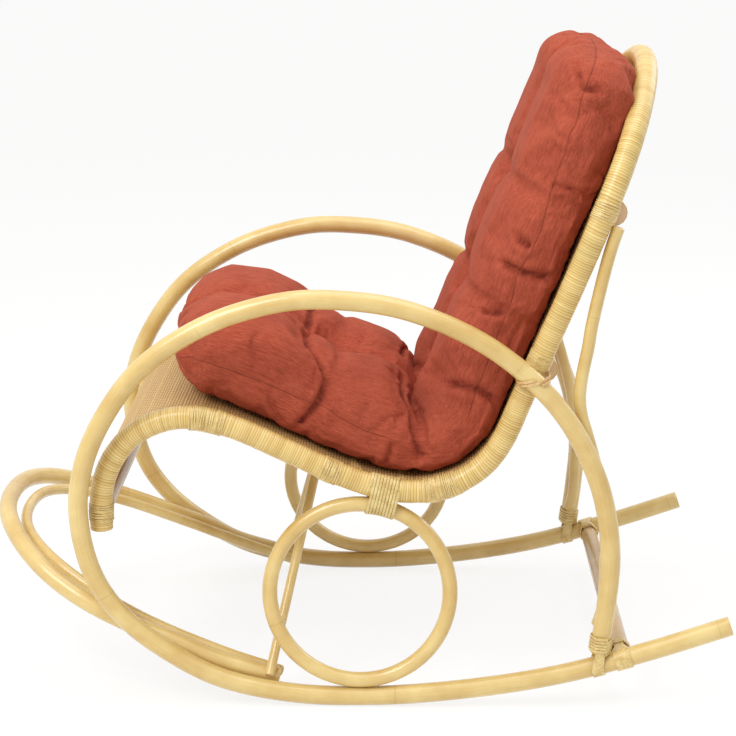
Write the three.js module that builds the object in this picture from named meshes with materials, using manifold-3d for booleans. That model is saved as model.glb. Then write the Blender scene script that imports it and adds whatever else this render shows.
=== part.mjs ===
// A rocking chair of bent rattan poles, with a woven seat and back and a loose tufted pad.
// Lengths are millimetres. X runs across the chair towards the sitter's left, the front faces -Y,
// and Z points up. The origin is on the floor, in the middle of the chair's outer box.

import * as THREE from "three";
import { mergeVertices } from "three/addons/utils/BufferGeometryUtils.js";
import Module from "manifold-3d";

const wasm = await Module();
wasm.setup();

// Clearances and cuts
const contactGap = 0.3;
const edgeGap = 0.4;
const weldDistance = 0.001;
const cutOverrun = 20;
const floorFlatDepth = 0.5;
const tieRoom = 2.7;
const tieEndRoom = 9;

// The two hoops: each is runner, front curve, armrest and rear leg in one pole
const hoopPoleDiameter = 28;
const hoopHalfSpread = 283;
const hoopReach = 933.5;
const hoopRise = 589.7;
const hoopFrontReach = 415.5;
const hoopFootPlaceShare = 0.7965;

// The pole round the seat and back
const railPoleDiameter = 33;
const shellReach = 784.3;
const shellRise = 651.1;
const shellFrontReach = 387.5;
const shellEndHeight = 258;

// The rings between seat and runners
const ringPoleDiameter = 22;
const ringSetback = 15;
const ringRoom = 200;

// The two bows in front
const outerBowDiameter = 27;
const outerBowReach = 567;
const outerBowHeight = 228;
const outerLegEndReach = 133;
const outerLegLift = 9.4;
const innerBowDiameter = 17;
const innerBowReach = 540;
const innerBowHeight = 207;
const innerLegEndReach = 129.5;
const innerLegLift = 9;

// Bars across the shell
const frontBarDiameter = 22;
const frontBarHeight = 290;
const seatBarDiameter = 22;
const frontSeatBarReach = 232;
const middleSeatBarReach = 50;
const rearSeatBarSetback = 101;
const backBarDiameter = 38;
const lowerBackBarSetback = 232;
const upperBackBarSetback = 323;

// Struts and stretcher
const frontStrutDiameter = 17;
const frontStrutReach = 147;
const frontStrutLeanShare = 0.191;
const frontStrutTopSpread = 13;
const frontStrutLap = 8;
const rearStrutDiameter = 18;
const rearStrutSetback = 318;
const rearStrutFootLift = 32;
const stretcherDiameter = 27;
const stretcherSetback = 37;

// The woven panel
const panelOffset = 8;
const panelThickness = 4;
const seatSag = 6;
const backSag = 2;

// Rattan strip in the bindings
const stripWidth = 3.9;
const stripThickness = 1.5;
const stripPitch = 4.6;
const ringTieLoops = 9;
const footCollarLoops = 5;
const footCollarLift = 2.2;
const stretcherCollarLoops = 3;
const stretcherCollarInset = 6;
const lashingLoops = 2;
const slingLegWidth = 14;
const footSlingWidth = 18;
const stretcherSlingWidth = 24;
const slingLegOverrun = 2;

// The pad
const padHalfWidth = 235;
const padSeatGap = 1.3;
const padCrown = 130;
const padSeam = 12;
const padEndSeam = 1.5;
const padFrontReach = 286;
const padFrontHeight = 421;
const padTopOverhang = -2;
const padEndRound = 52;
const padFrontCorner = 70;
const padTopCorner = 120;

// Fineness
const poleSides = 12;
const thinPoleSides = 8;
const hoopSteps = 84;
const shellSteps = 114;
const bowSteps = 44;
const innerBowSteps = 38;
const rearStrutSteps = 24;
const ringSegments = 30;
const archPoints = 10;
const arcDivisions = 600;
const bisections = 24;
const samples = 240;
const fineSamples = 480;
const ringSamples = 60;
const runnerRoomSteps = 42;
const panelHalfSteps = 3;
const panelSideRows = 42;
const panelArchRows = 10;
const slingArcSteps = 6;
const padRowSteps = 7;
const padAcrossSteps = 12;
const tieSteps = 14;
const collarSteps = 12;

// Worked out from the sizes above
const hoopRadius = hoopPoleDiameter / 2;
const railRadius = railPoleDiameter / 2;
const ringRadius = ringPoleDiameter / 2;
const outerBowRadius = outerBowDiameter / 2;
const innerBowRadius = innerBowDiameter / 2;
const frontStrutRadius = frontStrutDiameter / 2;
const rearStrutRadius = rearStrutDiameter / 2;
const stretcherRadius = stretcherDiameter / 2;
const railHalfSpread = hoopHalfSpread - hoopRadius - railRadius - contactGap;
const outerBowHalfSpread = hoopHalfSpread - hoopRadius - outerBowRadius - contactGap;
const innerBowHalfSpread = outerBowHalfSpread - outerBowRadius - innerBowRadius - contactGap;
const panelUnderside = panelOffset - panelThickness / 2;
const panelTop = panelOffset + panelThickness / 2;
const slingOffset = contactGap + stripThickness / 2;
const fullTurn = Math.PI * 2;
const quarterTurn = Math.PI / 2;
const eighthTurn = Math.PI / 4;

// Hoop centreline: shares of its reach from the front, and of its rise from the floor line
const hoopShares = [
  [1, 0.191], [0.8736, 0.122], [0.7386, 0.0602], [0.6004, 0.0212], [0.4451, 0],
  [0.3176, 0.0076], [0.2116, 0.0458], [0.1344, 0.1119], [0.0648, 0.2018], [0.0209, 0.3069],
  [0, 0.468], [0.0112, 0.5952], [0.0477, 0.7207], [0.1066, 0.8389], [0.2041, 0.9403],
  [0.3133, 0.9937], [0.3862, 1], [0.4976, 0.9761], [0.6251, 0.8852], [0.729, 0.736],
  [0.79, 0.5562], [0.8119, 0.3798], [0.8082, 0.2476],
];
const runnerPointCount = 8;

// Seat and back rail seen from the side: shares of the shell's reach and rise
const railShares = [
  [0, 0], [0.0013, 0.0722], [0.0172, 0.1444], [0.0606, 0.2135], [0.1167, 0.2488],
  [0.1753, 0.2565], [0.2454, 0.235], [0.3385, 0.1843], [0.4329, 0.1318], [0.5068, 0.1006],
  [0.5706, 0.0898], [0.6343, 0.1029], [0.6917, 0.1428], [0.7287, 0.1981], [0.7695, 0.3118],
  [0.8485, 0.5391], [0.9034, 0.7065],
];

// Bows: shares of the half width, of the way back from the front, and of the rise
const outerBowShares = [
  [0, 0, 1], [0.298, 0.017, 0.98], [0.5133, 0.0624, 0.922], [0.69, 0.1282, 0.829],
  [0.827, 0.215, 0.712], [0.925, 0.325, 0.584], [0.984, 0.463, 0.446], [1, 0.656, 0.268],
  [1, 0.765, 0.155], [1, 0.877, 0.079], [1, 1, 0],
];
const innerBowShares = [
  [0, 0, 1], [0.386, 0.0326, 0.9627], [0.653, 0.1315, 0.852], [0.847, 0.2923, 0.669],
  [0.9643, 0.514, 0.428], [1, 0.8161, 0.145], [1, 0.9384, 0.05], [1, 1, 0],
];

// Rear strut: shares of its height from the top, of its shift to the hoop, and of its height backwards
const rearStrutShares = [
  [0, 0, 0], [0.0619, 0, -0.0189], [0.2406, 0.2, -0.0567], [0.2904, 0.35, -0.0635],
  [0.3394, 0.5, -0.0728], [0.39, 0.7, -0.0799], [0.4399, 0.85, -0.0797], [0.4898, 1, -0.0662],
  [0.5533, 1, -0.0472], [0.6289, 1, -0.0275], [0.7063, 1, -0.0138], [0.787, 1, -0.0069],
  [0.8695, 1, -0.0069], [0.9402, 1, -0.0091], [0.9762, 1, -0.0146], [1, 1, -0.0223],
];

// How far the panel sags: shares of the rail's length, and of the seat's sag
const sagShares = [[0, 0], [0.12, 0], [0.2, 1], [0.5, 1], [0.62, 0], [1, 0]];
const backSagShares = [[0, 0], [0.55, 0], [0.65, 1], [0.9, 1], [1, 0.5]];

// The pad's rows of tufts: shares of its length, and how deep each line is drawn in
const padRowShares = [[0, 0], [0.183, 0.08], [0.362, 0.42], [0.642, 0.13], [0.799, 0.09], [1, 0]];
const padCrownShares = [
  [0, 1.02], [0.05, 1.12], [0.115, 1.05], [0.18, 1], [0.28, 1.02], [0.339, 0.98],
  [0.362, 0.94], [0.391, 0.87], [0.436, 0.831], [0.479, 0.85], [0.553, 0.95], [0.61, 0.99],
  [0.8, 1], [0.93, 0.96], [1, 0.9],
];
const padBaseShares = [[0, 0], [0.83, 0], [0.88, 1], [1, 1]];
const padValleyShare = 0.14;
const padPinchShare = 0.045;
const padTuftShare = 0.12;
const padTuftWidthShare = 0.2;
const padSeamShare = 0.52;
const padFrontBlendShare = 0.9;
const shellNoseShare = 0.15;
const panelArchEndShare = 0.94;

// How square the pad's top and underside are, as exponents of a rounded outline
const lobeExponent = 2.2;
const baseExponent = 5;

function interpolate(shares, place) {
  const next = shares.findIndex(([at]) => at >= place);
  if (next <= 0) return shares[next === 0 ? 0 : shares.length - 1][1];
  const [fromAt, from] = shares[next - 1];
  const [toAt, to] = shares[next];
  return THREE.MathUtils.mapLinear(place, fromAt, toAt, from, to);
}

function spline(points) {
  const curve = new THREE.CatmullRomCurve3(points, false, "centripetal");
  curve.arcLengthDivisions = arcDivisions;
  return curve;
}

// The station along a curve, as a share of its length, where y has the value asked for
function stationAtY(curve, y, lowStation, highStation) {
  let low = lowStation;
  let high = highStation;
  for (let round = 0; round < bisections; round += 1) {
    const middle = (low + high) / 2;
    if (curve.getPointAt(middle).y < y) low = middle;
    else high = middle;
  }
  return (low + high) / 2;
}

// Point, tangent and upward normal of a curve that lies in a plane of constant x
function sideFrame(curve, station) {
  const point = curve.getPointAt(station);
  const tangent = curve.getTangentAt(station);
  const normal = new THREE.Vector3(0, -tangent.z, tangent.y);
  return { point, tangent, normal };
}

function move(point, ...steps) {
  const moved = point.clone();
  for (const [direction, distance] of steps) moved.addScaledVector(direction, distance);
  return moved;
}

const acrossAxis = new THREE.Vector3(1, 0, 0);

// A pole of round section that follows a curve
function poleAlong(curve, diameter, sides, steps) {
  const section = new THREE.Shape();
  for (let side = 0; side < sides; side += 1) {
    const angle = (fullTurn * side) / sides;
    const corner = [(diameter / 2) * Math.cos(angle), (diameter / 2) * Math.sin(angle)];
    if (side === 0) section.moveTo(...corner);
    else section.lineTo(...corner);
  }
  section.closePath();
  return new THREE.ExtrudeGeometry(section, { steps, bevelEnabled: false, extrudePath: curve });
}

// A straight bar across the chair, centred on the middle plane
function crossBar(diameter, halfLength, centre) {
  const bar = new THREE.CylinderGeometry(diameter / 2, diameter / 2, halfLength * 2, poleSides);
  bar.rotateZ(quarterTurn);
  bar.translate(0, centre.y, centre.z);
  return bar;
}

function bareGeometry(geometry) {
  const bare = geometry.index ? geometry.toNonIndexed() : geometry.clone();
  bare.deleteAttribute("normal");
  bare.deleteAttribute("uv");
  return mergeVertices(bare, weldDistance);
}

function toSolid(geometry) {
  const bare = bareGeometry(geometry);
  const vertProperties = bare.attributes.position.array;
  const triVerts = new Uint32Array(bare.index.array);
  return new wasm.Manifold(new wasm.Mesh({ numProp: 3, vertProperties, triVerts }));
}

function toGeometry(solid) {
  const mesh = solid.getMesh();
  const positions = new Float32Array(mesh.numVert * 3);
  for (let vertex = 0; vertex < mesh.numVert; vertex += 1) {
    const start = vertex * mesh.numProp;
    positions.set(mesh.vertProperties.subarray(start, start + 3), vertex * 3);
  }
  const geometry = new THREE.BufferGeometry();
  geometry.setAttribute("position", new THREE.BufferAttribute(positions, 3));
  geometry.setIndex(new THREE.BufferAttribute(new Uint32Array(mesh.triVerts), 1));
  return geometry;
}

function cut(geometry, ...tools) {
  let solid = toSolid(geometry);
  for (const tool of tools) solid = solid.subtract(toSolid(tool));
  return toGeometry(solid);
}

// A closed solid skinned through sections of equal count, whose points pair up as rungs of a ladder
function skin(sections) {
  const count = sections[0].length;
  const faces = [];
  const quad = (a, b, c, d) => faces.push(a, b, c, a, c, d);
  for (let row = 0; row + 1 < sections.length; row += 1) {
    const here = row * count;
    for (let step = 0; step < count; step += 1) {
      const next = (step + 1) % count;
      quad(here + step, here + next, here + count + next, here + count + step);
    }
  }
  const last = (sections.length - 1) * count;
  for (let rung = 0; rung + 1 < count / 2; rung += 1) {
    const far = count - 1 - rung;
    quad(rung, far, far - 1, rung + 1);
    quad(last + rung, last + rung + 1, last + far - 1, last + far);
  }
  const geometry = new THREE.BufferGeometry().setFromPoints(sections.flat());
  geometry.setIndex(volumeOf(geometry, faces) < 0 ? faces.reverse() : faces);
  return geometry;
}

function volumeOf(geometry, faces) {
  const corners = [0, 1, 2].map(() => new THREE.Vector3());
  let volume = 0;
  for (let face = 0; face < faces.length; face += 3) {
    corners.forEach((corner, place) => {
      corner.fromBufferAttribute(geometry.attributes.position, faces[face + place]);
    });
    volume += corners[0].dot(corners[1].cross(corners[2]));
  }
  return volume;
}

// A flat strip through stations that give its centre, its outward side, its breadth and its width
function strip(stations) {
  return skin(stations.map(({ centre, out, breadth, width, mitre = 1 }) => {
    const half = (stripThickness / 2) * mitre;
    return [[-1, -1], [1, -1], [1, 1], [-1, 1]].map(([layer, side]) =>
      move(centre, [out, layer * half], [breadth, (side * width) / 2]));
  }));
}

// Shapes that a winding goes round, each given as how far it reaches at an angle
function roundShape(across, up, radiusAcross, radiusUp) {
  return (angle) =>
    across * Math.cos(angle) + up * Math.sin(angle)
      + Math.hypot(radiusAcross * Math.cos(angle), radiusUp * Math.sin(angle));
}

function blockShape(halfAcross, halfUp) {
  return (angle) => halfAcross * Math.abs(Math.cos(angle)) + halfUp * Math.abs(Math.sin(angle));
}

// One unbroken strip wound round the shapes, loop beside loop along the frame's axis
function winding(name, frame, shapesAt, loops, steps) {
  const corner = fullTurn / steps;
  const stations = [];
  for (let step = 0; step <= loops * steps; step += 1) {
    const angle = step * corner;
    const along = stripPitch * (step / steps - loops / 2);
    const shapes = [...shapesAt(along - stripWidth / 2), ...shapesAt(along + stripWidth / 2)];
    const reach = (turn) => Math.max(...shapes.map((shape) => shape(turn))) + slingOffset;
    const first = reach(angle);
    const slide = (reach(angle + corner) - first * Math.cos(corner)) / Math.sin(corner);
    const across = first * Math.cos(angle) - slide * Math.sin(angle);
    const up = first * Math.sin(angle) + slide * Math.cos(angle);
    const outAngle = angle + corner / 2;
    const centre = move(frame.origin, [frame.across, across], [frame.up, up], [frame.axis, along]);
    const out = move(new THREE.Vector3(), [frame.across, Math.cos(outAngle)], [frame.up, Math.sin(outAngle)]);
    const mitre = 1 / Math.cos(corner / 2);
    stations.push({ centre, out, breadth: frame.axis, width: stripWidth, mitre });
  }
  reportGap(name, stations, steps);
  return strip(stations);
}

// Prints the least gap between a loop and the next, measured on the strip's edge points
function reportGap(name, stations, steps) {
  let least = Infinity;
  const edge = (station, side) => move(station.centre, [station.breadth, (side * station.width) / 2]);
  stations.forEach((station, place) => {
    stations.slice(place + steps / 2).forEach((other) => {
      least = Math.min(least, edge(station, 1).distanceTo(edge(other, -1)));
    });
  });
  console.log(`${name}: least gap to itself ${least.toFixed(2)} mm`);
}

// Hoop, runner and the foot that stands on its own runner
function hoopPoint([along, up]) {
  return new THREE.Vector3(hoopHalfSpread, along * hoopReach - hoopFrontReach, hoopRadius + up * hoopRise);
}

const runnerLine = spline(hoopShares.slice(0, runnerPointCount + 1).map(hoopPoint));
const runnerFrameAt = (y) => sideFrame(runnerLine, stationAtY(runnerLine, y, 1, 0));
const hoopFootY = hoopFootPlaceShare * hoopReach - hoopFrontReach;
const footSeat = runnerFrameAt(hoopFootY);
footSeat.normal.negate();
footSeat.tangent.negate();

function footEnd() {
  const lastPoint = hoopPoint(hoopShares.at(-1));
  const rise = lastPoint.clone().sub(footSeat.point).normalize();
  const face = new THREE.Vector3(0, -rise.z, rise.y);
  const standOff = hoopRadius + contactGap + hoopRadius * Math.abs(face.dot(footSeat.normal));
  return move(footSeat.point, [rise, standOff / rise.dot(footSeat.normal)]);
}

const hoopFoot = footEnd();
const hoopLine = spline([...hoopShares.map(hoopPoint), hoopFoot]);
const hoopLength = hoopLine.getLength();

function hoopRunner() {
  const pole = poleAlong(hoopLine, hoopPoleDiameter, poleSides, hoopSteps);
  pole.computeBoundingBox();
  const floor = pole.boundingBox.min.z + floorFlatDepth;
  const cutter = new THREE.BoxGeometry(hoopPoleDiameter + cutOverrun, hoopReach, cutOverrun);
  cutter.translate(hoopHalfSpread, hoopReach / 2 - hoopFrontReach, floor - cutOverrun / 2);
  return cut(pole, cutter);
}

// Seat and back rail: its side view, then the whole pole with the arch over the top
function railPoint([along, up]) {
  const y = along * shellReach - shellFrontReach;
  return new THREE.Vector3(railHalfSpread, y, shellEndHeight + up * shellRise);
}

const springPoint = railPoint(railShares.at(-1));
const apexPoint = railPoint([1, 1]);
const railLine = spline([...railShares.map(railPoint), apexPoint]);
const backHeight = springPoint.distanceTo(apexPoint);
const backUp = apexPoint.clone().sub(springPoint).normalize();
const backFront = new THREE.Vector3(0, -backUp.z, backUp.y);
const railStationAtY = (y) => stationAtY(railLine, y, 0, 1);
const springStation = railStationAtY(springPoint.y);

const mirrored = (point) => new THREE.Vector3(-point.x, point.y, point.z);

function shellFramePole() {
  const side = railShares.map(railPoint);
  const arch = [];
  for (let place = 1; place < archPoints; place += 1) {
    const angle = (Math.PI * place) / archPoints;
    const point = move(springPoint, [backUp, backHeight * Math.sin(angle)]);
    point.x = railHalfSpread * Math.cos(angle);
    arch.push(point);
  }
  const path = spline([...side, ...arch, ...side.map(mirrored).reverse()]);
  return poleAlong(path, railPoleDiameter, poleSides, shellSteps);
}

// Bars between the rails, each just under the panel where it sags most
const sagAt = (station) =>
  seatSag * interpolate(sagShares, station) + backSag * interpolate(backSagShares, station);

// Half the distance between the rails' inner sides, which close in above the spring of the arch
function halfOpening(centre, radius) {
  const height = Math.max(centre.clone().sub(springPoint).dot(backUp) + radius, 0);
  return railHalfSpread * Math.sqrt(1 - (height / backHeight) ** 2) - railRadius;
}

function barUnderPanel(diameter, station, endGap = contactGap) {
  const frame = sideFrame(railLine, station);
  const drop = diameter / 2 + contactGap + sagAt(station) - panelUnderside;
  const centre = move(frame.point, [frame.normal, -drop]);
  return crossBar(diameter, halfOpening(centre, diameter / 2) - endGap, centre);
}

function frontBarStation() {
  let low = 0;
  let high = sagShares[1][0];
  for (let round = 0; round < bisections; round += 1) {
    const middle = (low + high) / 2;
    if (railLine.getPointAt(middle).z < frontBarHeight) low = middle;
    else high = middle;
  }
  return low;
}

// The back bars stop short of the strip that binds the armrests to the rails
function backBar(setback) {
  return barUnderPanel(backBarDiameter, railStationAtY(setback), stripThickness + contactGap * 3);
}

const middleBarStation = railStationAtY(-middleSeatBarReach);

// Woven panel between the rails and inside the arch
function panelRow(base, normal, halfWidth, sag) {
  const upper = [];
  const lower = [];
  for (let step = -panelHalfSteps; step <= panelHalfSteps; step += 1) {
    const across = step / panelHalfSteps;
    const drop = sag * (1 - across ** 2);
    const place = base.clone();
    place.x = halfWidth * across;
    upper.push(move(place, [normal, panelTop - drop]));
    lower.unshift(move(place, [normal, panelUnderside - drop]));
  }
  return [...upper, ...lower];
}

function wovenPanel() {
  const inset = Math.sqrt(railRadius ** 2 - panelUnderside ** 2) + edgeGap;
  const sections = [];
  for (let row = 0; row <= panelSideRows; row += 1) {
    const station = frontBarStation() + ((springStation - frontBarStation()) * row) / panelSideRows;
    const frame = sideFrame(railLine, station);
    sections.push(panelRow(frame.point, frame.normal, railHalfSpread - inset, sagAt(station)));
  }
  for (let row = 1; row <= panelArchRows; row += 1) {
    const angle = (quarterTurn * panelArchEndShare * row) / panelArchRows;
    const lean = new THREE.Vector2(Math.cos(angle) / railHalfSpread, Math.sin(angle) / backHeight);
    lean.normalize();
    const halfWidth = railHalfSpread * Math.cos(angle) - inset * lean.x;
    const height = backHeight * Math.sin(angle) - inset * lean.y;
    const station = springStation + ((1 - springStation) * height) / backHeight;
    sections.push(panelRow(move(springPoint, [backUp, height]), backFront, halfWidth, sagAt(station)));
  }
  return cut(skin(sections), ...tieClearances());
}

// Ring: as large as fits between the rail and the runner at its place, leaning out to the runner
const ringCentreX = (hoopHalfSpread + railHalfSpread) / 2;
const ringHalfLean = (hoopHalfSpread - railHalfSpread) / 2;

function ringPoint(radius, centreZ, angle) {
  const rise = Math.sqrt(radius ** 2 - ringHalfLean ** 2) * Math.sin(angle);
  const x = ringCentreX - ringHalfLean * Math.sin(angle);
  return new THREE.Vector3(x, radius * Math.cos(angle) - ringSetback, centreZ + rise);
}

function nearest(points, others) {
  let best = { distance: Infinity };
  points.forEach((point, place) => {
    others.forEach((other, otherPlace) => {
      const distance = point.distanceTo(other);
      if (distance < best.distance) best = { distance, place, otherPlace };
    });
  });
  return best;
}

function fitRing() {
  const ringPoints = (radius, centreZ, from, to) => {
    const points = [];
    for (let step = 0; step <= ringSamples; step += 1) {
      points.push(ringPoint(radius, centreZ, from + ((to - from) * step) / ringSamples));
    }
    return points;
  };
  const railPoints = railLine.getSpacedPoints(samples).filter(({ y }) => Math.abs(y) < ringRoom);
  const runnerPoints = runnerLine.getSpacedPoints(samples).filter(({ y }) => Math.abs(y) < ringRoom);
  const railDistance = railRadius + ringRadius + contactGap;
  const runnerDistance = hoopRadius + ringRadius + contactGap;
  let smallest = ringHalfLean;
  let largest = ringRoom;
  let centreZ = 0;
  for (let round = 0; round < bisections; round += 1) {
    const radius = (smallest + largest) / 2;
    let low = radius;
    let high = radius + ringRoom;
    for (let inner = 0; inner < bisections; inner += 1) {
      centreZ = (low + high) / 2;
      const below = ringPoints(radius, centreZ, -eighthTurn * 3, -eighthTurn);
      if (nearest(below, runnerPoints).distance < runnerDistance) low = centreZ;
      else high = centreZ;
    }
    const above = ringPoints(radius, centreZ, eighthTurn, eighthTurn * 3);
    if (nearest(above, railPoints).distance > railDistance) smallest = radius;
    else largest = radius;
  }
  const above = ringPoints(smallest, centreZ, eighthTurn, eighthTurn * 3);
  const contact = nearest(above, railPoints);
  const angle = eighthTurn + (quarterTurn * contact.place) / ringSamples;
  return { radius: smallest, centreZ, angle, railY: railPoints[contact.otherPlace].y };
}

const ring = fitRing();

function ringHoop() {
  const lean = ringHalfLean / ring.radius;
  const up = new THREE.Vector3(-lean, 0, Math.sqrt(1 - lean ** 2));
  const back = new THREE.Vector3(0, 1, 0);
  const geometry = new THREE.TorusGeometry(ring.radius, ringRadius, poleSides, ringSegments);
  const turn = new THREE.Matrix4().makeBasis(back, up, back.clone().cross(up));
  geometry.applyMatrix4(turn);
  geometry.translate(ringCentreX, -ringSetback, ring.centreZ);
  return geometry;
}

// The tie that binds the ring's top to the seat rail
function ringTieFrame() {
  const station = railStationAtY(ring.railY);
  const { point, tangent, normal } = sideFrame(railLine, station);
  return { origin: point, axis: tangent, across: acrossAxis, up: normal, station };
}

function ringTie() {
  const frame = ringTieFrame();
  const railLength = railLine.getLength();
  const offset = (point) => {
    const away = point.clone().sub(frame.origin);
    return [away.x, away.dot(frame.up)];
  };
  const shapesAt = (along) => {
    const rail = offset(railLine.getPointAt(frame.station + along / railLength));
    const hoop = offset(ringPoint(ring.radius, ring.centreZ, ring.angle - along / ring.radius));
    return [
      roundShape(...rail, railRadius, railRadius + contactGap),
      roundShape(...hoop, ringRadius + contactGap, ringRadius + contactGap * 3),
    ];
  };
  return winding("ring tie", frame, shapesAt, ringTieLoops, tieSteps);
}

// The lashing where the armrest passes the back rail
function lashingFrame() {
  const armPoints = hoopLine.getSpacedPoints(fineSamples);
  const flatten = (point) => new THREE.Vector3(0, point.y, point.z);
  const upperHalf = ({ y, z }) => z > hoopRise / 2 && y > 0;
  const arm = armPoints.map((point) => (upperHalf(point) ? flatten(point) : point));
  const rail = railLine.getSpacedPoints(fineSamples).map(flatten);
  const crossing = nearest(arm, rail);
  const armFrame = sideFrame(hoopLine, crossing.place / fineSamples);
  const railFrame = sideFrame(railLine, crossing.otherPlace / fineSamples);
  const sum = armFrame.tangent.clone().add(railFrame.tangent).normalize();
  const difference = armFrame.tangent.clone().sub(railFrame.tangent).normalize();
  const steeper = Math.abs(sum.dot(railFrame.tangent)) < Math.abs(difference.dot(railFrame.tangent));
  const up = steeper ? sum : difference;
  const axis = acrossAxis.clone().cross(up);
  return { origin: railFrame.point, axis, across: acrossAxis, up, arm: armFrame, rail: railFrame };
}

function armLashing() {
  const frame = lashingFrame();
  const poleShape = ({ point, tangent }, radius, along) => {
    const square = tangent.dot(frame.axis);
    const away = point.clone().sub(frame.origin);
    const beyond = (along - away.dot(frame.axis)) / square;
    const up = away.dot(frame.up) + beyond * tangent.dot(frame.up);
    return roundShape(away.x, up, radius + contactGap, (radius + contactGap) / Math.abs(square));
  };
  const shapesAt = (along) => [
    poleShape(frame.arm, hoopRadius, along),
    poleShape(frame.rail, railRadius, along),
  ];
  return winding("arm lashing", frame, shapesAt, lashingLoops, collarSteps);
}

// Room in the panel's edge for the ties that pass through it
function tieClearances() {
  const reach = railRadius + slingOffset + tieRoom;
  const tie = ringTieFrame();
  const lashing = lashingFrame();
  const lashingSlant = Math.abs(lashing.rail.tangent.dot(lashing.axis));
  const { point: lashed, tangent: along, normal: above } = lashing.rail;
  const places = [
    [tie.origin, tie.axis, tie.up, ringTieLoops * stripPitch],
    [lashed, along, above, (lashingLoops * stripPitch) / lashingSlant],
  ];
  return places.flatMap(([point, tangent, normal, length]) => {
    const left = new THREE.BoxGeometry(reach * 2, length + tieEndRoom * 2, reach * 2);
    left.applyMatrix4(new THREE.Matrix4().makeBasis(acrossAxis, tangent, normal));
    left.translate(point.x, point.y, point.z);
    const right = left.clone();
    right.translate(-point.x * 2, 0, 0);
    return [left, right];
  });
}

// Front bows, drawn from the middle outwards and mirrored
function bowLine(shares, halfSpread, reach, height, legEndReach, legLift) {
  const legHeight = runnerFrameAt(-legEndReach).point.z + legLift;
  const points = shares.map(([across, back, up]) =>
    new THREE.Vector3(
      across * halfSpread,
      -reach + back * (reach - legEndReach),
      legHeight + up * (height - legHeight),
    ));
  return spline([...points.slice(1).reverse(), ...points.map(mirrored)]);
}

const outerBowLine = bowLine(
  outerBowShares, outerBowHalfSpread, outerBowReach, outerBowHeight, outerLegEndReach, outerLegLift,
);
const innerBowLine = bowLine(
  innerBowShares, innerBowHalfSpread, innerBowReach, innerBowHeight, innerLegEndReach, innerLegLift,
);

// Front struts from the runners up to the middle seat bar
function frontStrut() {
  const lean = quarterTurn * (1 + frontStrutLeanShare);
  const foot = runnerFrameAt(-frontStrutReach).point.clone();
  foot.x += (hoopRadius + contactGap) * Math.cos(lean);
  foot.z += (hoopRadius + contactGap) * Math.sin(lean);
  const barFrame = sideFrame(railLine, middleBarStation);
  const barRadius = seatBarDiameter / 2;
  const drop = barRadius + contactGap + sagAt(middleBarStation) - panelUnderside;
  const bar = move(barFrame.point, [barFrame.normal, -drop]);
  const top = bar.clone();
  top.x = frontStrutTopSpread;
  const away = new THREE.Vector3(0, foot.z - top.z, top.y - foot.y).normalize();
  top.addScaledVector(away, barRadius + frontStrutRadius + contactGap);
  const rise = top.clone().sub(foot).normalize();
  const end = move(top, [rise, frontStrutLap]);
  const strut = poleAlong(new THREE.LineCurve3(foot, end), frontStrutDiameter, poleSides, 1);
  const runnerRoom = poleAlong(runnerLine, hoopPoleDiameter + contactGap * 2, poleSides, runnerRoomSteps);
  const bowRoom = poleAlong(outerBowLine, outerBowDiameter + contactGap * 2, poleSides, bowSteps);
  return cut(strut, runnerRoom, bowRoom);
}

// Rear struts from behind the back rail down along the hoops' inner sides
function rearStrut() {
  const { point, normal } = sideFrame(railLine, railStationAtY(rearStrutSetback));
  const top = move(point, [normal, -(railRadius + rearStrutRadius + contactGap)]);
  const footHeight = hoopFoot.z + rearStrutFootLift;
  const height = top.z - footHeight;
  const lowerX = hoopHalfSpread - hoopRadius - rearStrutRadius - contactGap;
  const points = rearStrutShares.map(([down, out, back]) =>
    new THREE.Vector3(top.x + (lowerX - top.x) * out, top.y + back * height, top.z - down * height));
  return poleAlong(spline(points), rearStrutDiameter, thinPoleSides, rearStrutSteps);
}

// Rear stretcher between the runners
const stretcherSeat = runnerFrameAt(hoopFootY + stretcherSetback);
stretcherSeat.normal.negate();
stretcherSeat.tangent.negate();

function rearStretcher() {
  const halfLength = hoopHalfSpread - hoopRadius - contactGap;
  return crossBar(stretcherDiameter, halfLength, stretcherSeat.point);
}

// Strip bent in a U round the runner, with straight legs towards the pole that it holds
function sling(centre, legUp, tangent, legEnds, runnerWidth, side) {
  const offset = hoopRadius + slingOffset;
  const half = Math.PI / slingArcSteps / 2;
  const stations = [];
  for (let step = 0; step < slingArcSteps; step += 1) {
    const angle = half * (step * 2 + 1);
    const out = move(new THREE.Vector3(), [side, Math.cos(angle)], [legUp, -Math.sin(angle)]);
    const place = move(centre, [out, offset / Math.cos(half)]);
    stations.push({ centre: place, out, breadth: tangent, width: runnerWidth, mitre: 1 / Math.cos(half) });
  }
  const leg = (sign) => legEnds.map(({ from, breadth, width }) => {
    const out = side.clone().multiplyScalar(sign);
    return { centre: move(from, [out, offset]), out, breadth, width };
  });
  return strip([...leg(1).reverse(), ...stations, ...leg(-1)]);
}

const footRise = hoopLine.getTangentAt(1).negate();
const footBreadth = new THREE.Vector3(0, footRise.z, -footRise.y);
const footCollarLength = footCollarLoops * stripPitch;

function hoopFootSling() {
  const legEnds = [
    { from: footSeat.point, breadth: footSeat.tangent, width: footSlingWidth },
    { from: hoopFoot, breadth: footBreadth, width: slingLegWidth },
    {
      from: move(hoopFoot, [footRise, footCollarLift + footCollarLength + slingLegOverrun]),
      breadth: footBreadth,
      width: slingLegWidth,
    },
  ];
  return sling(footSeat.point, footSeat.normal, footSeat.tangent, legEnds, footSlingWidth, acrossAxis);
}

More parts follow.
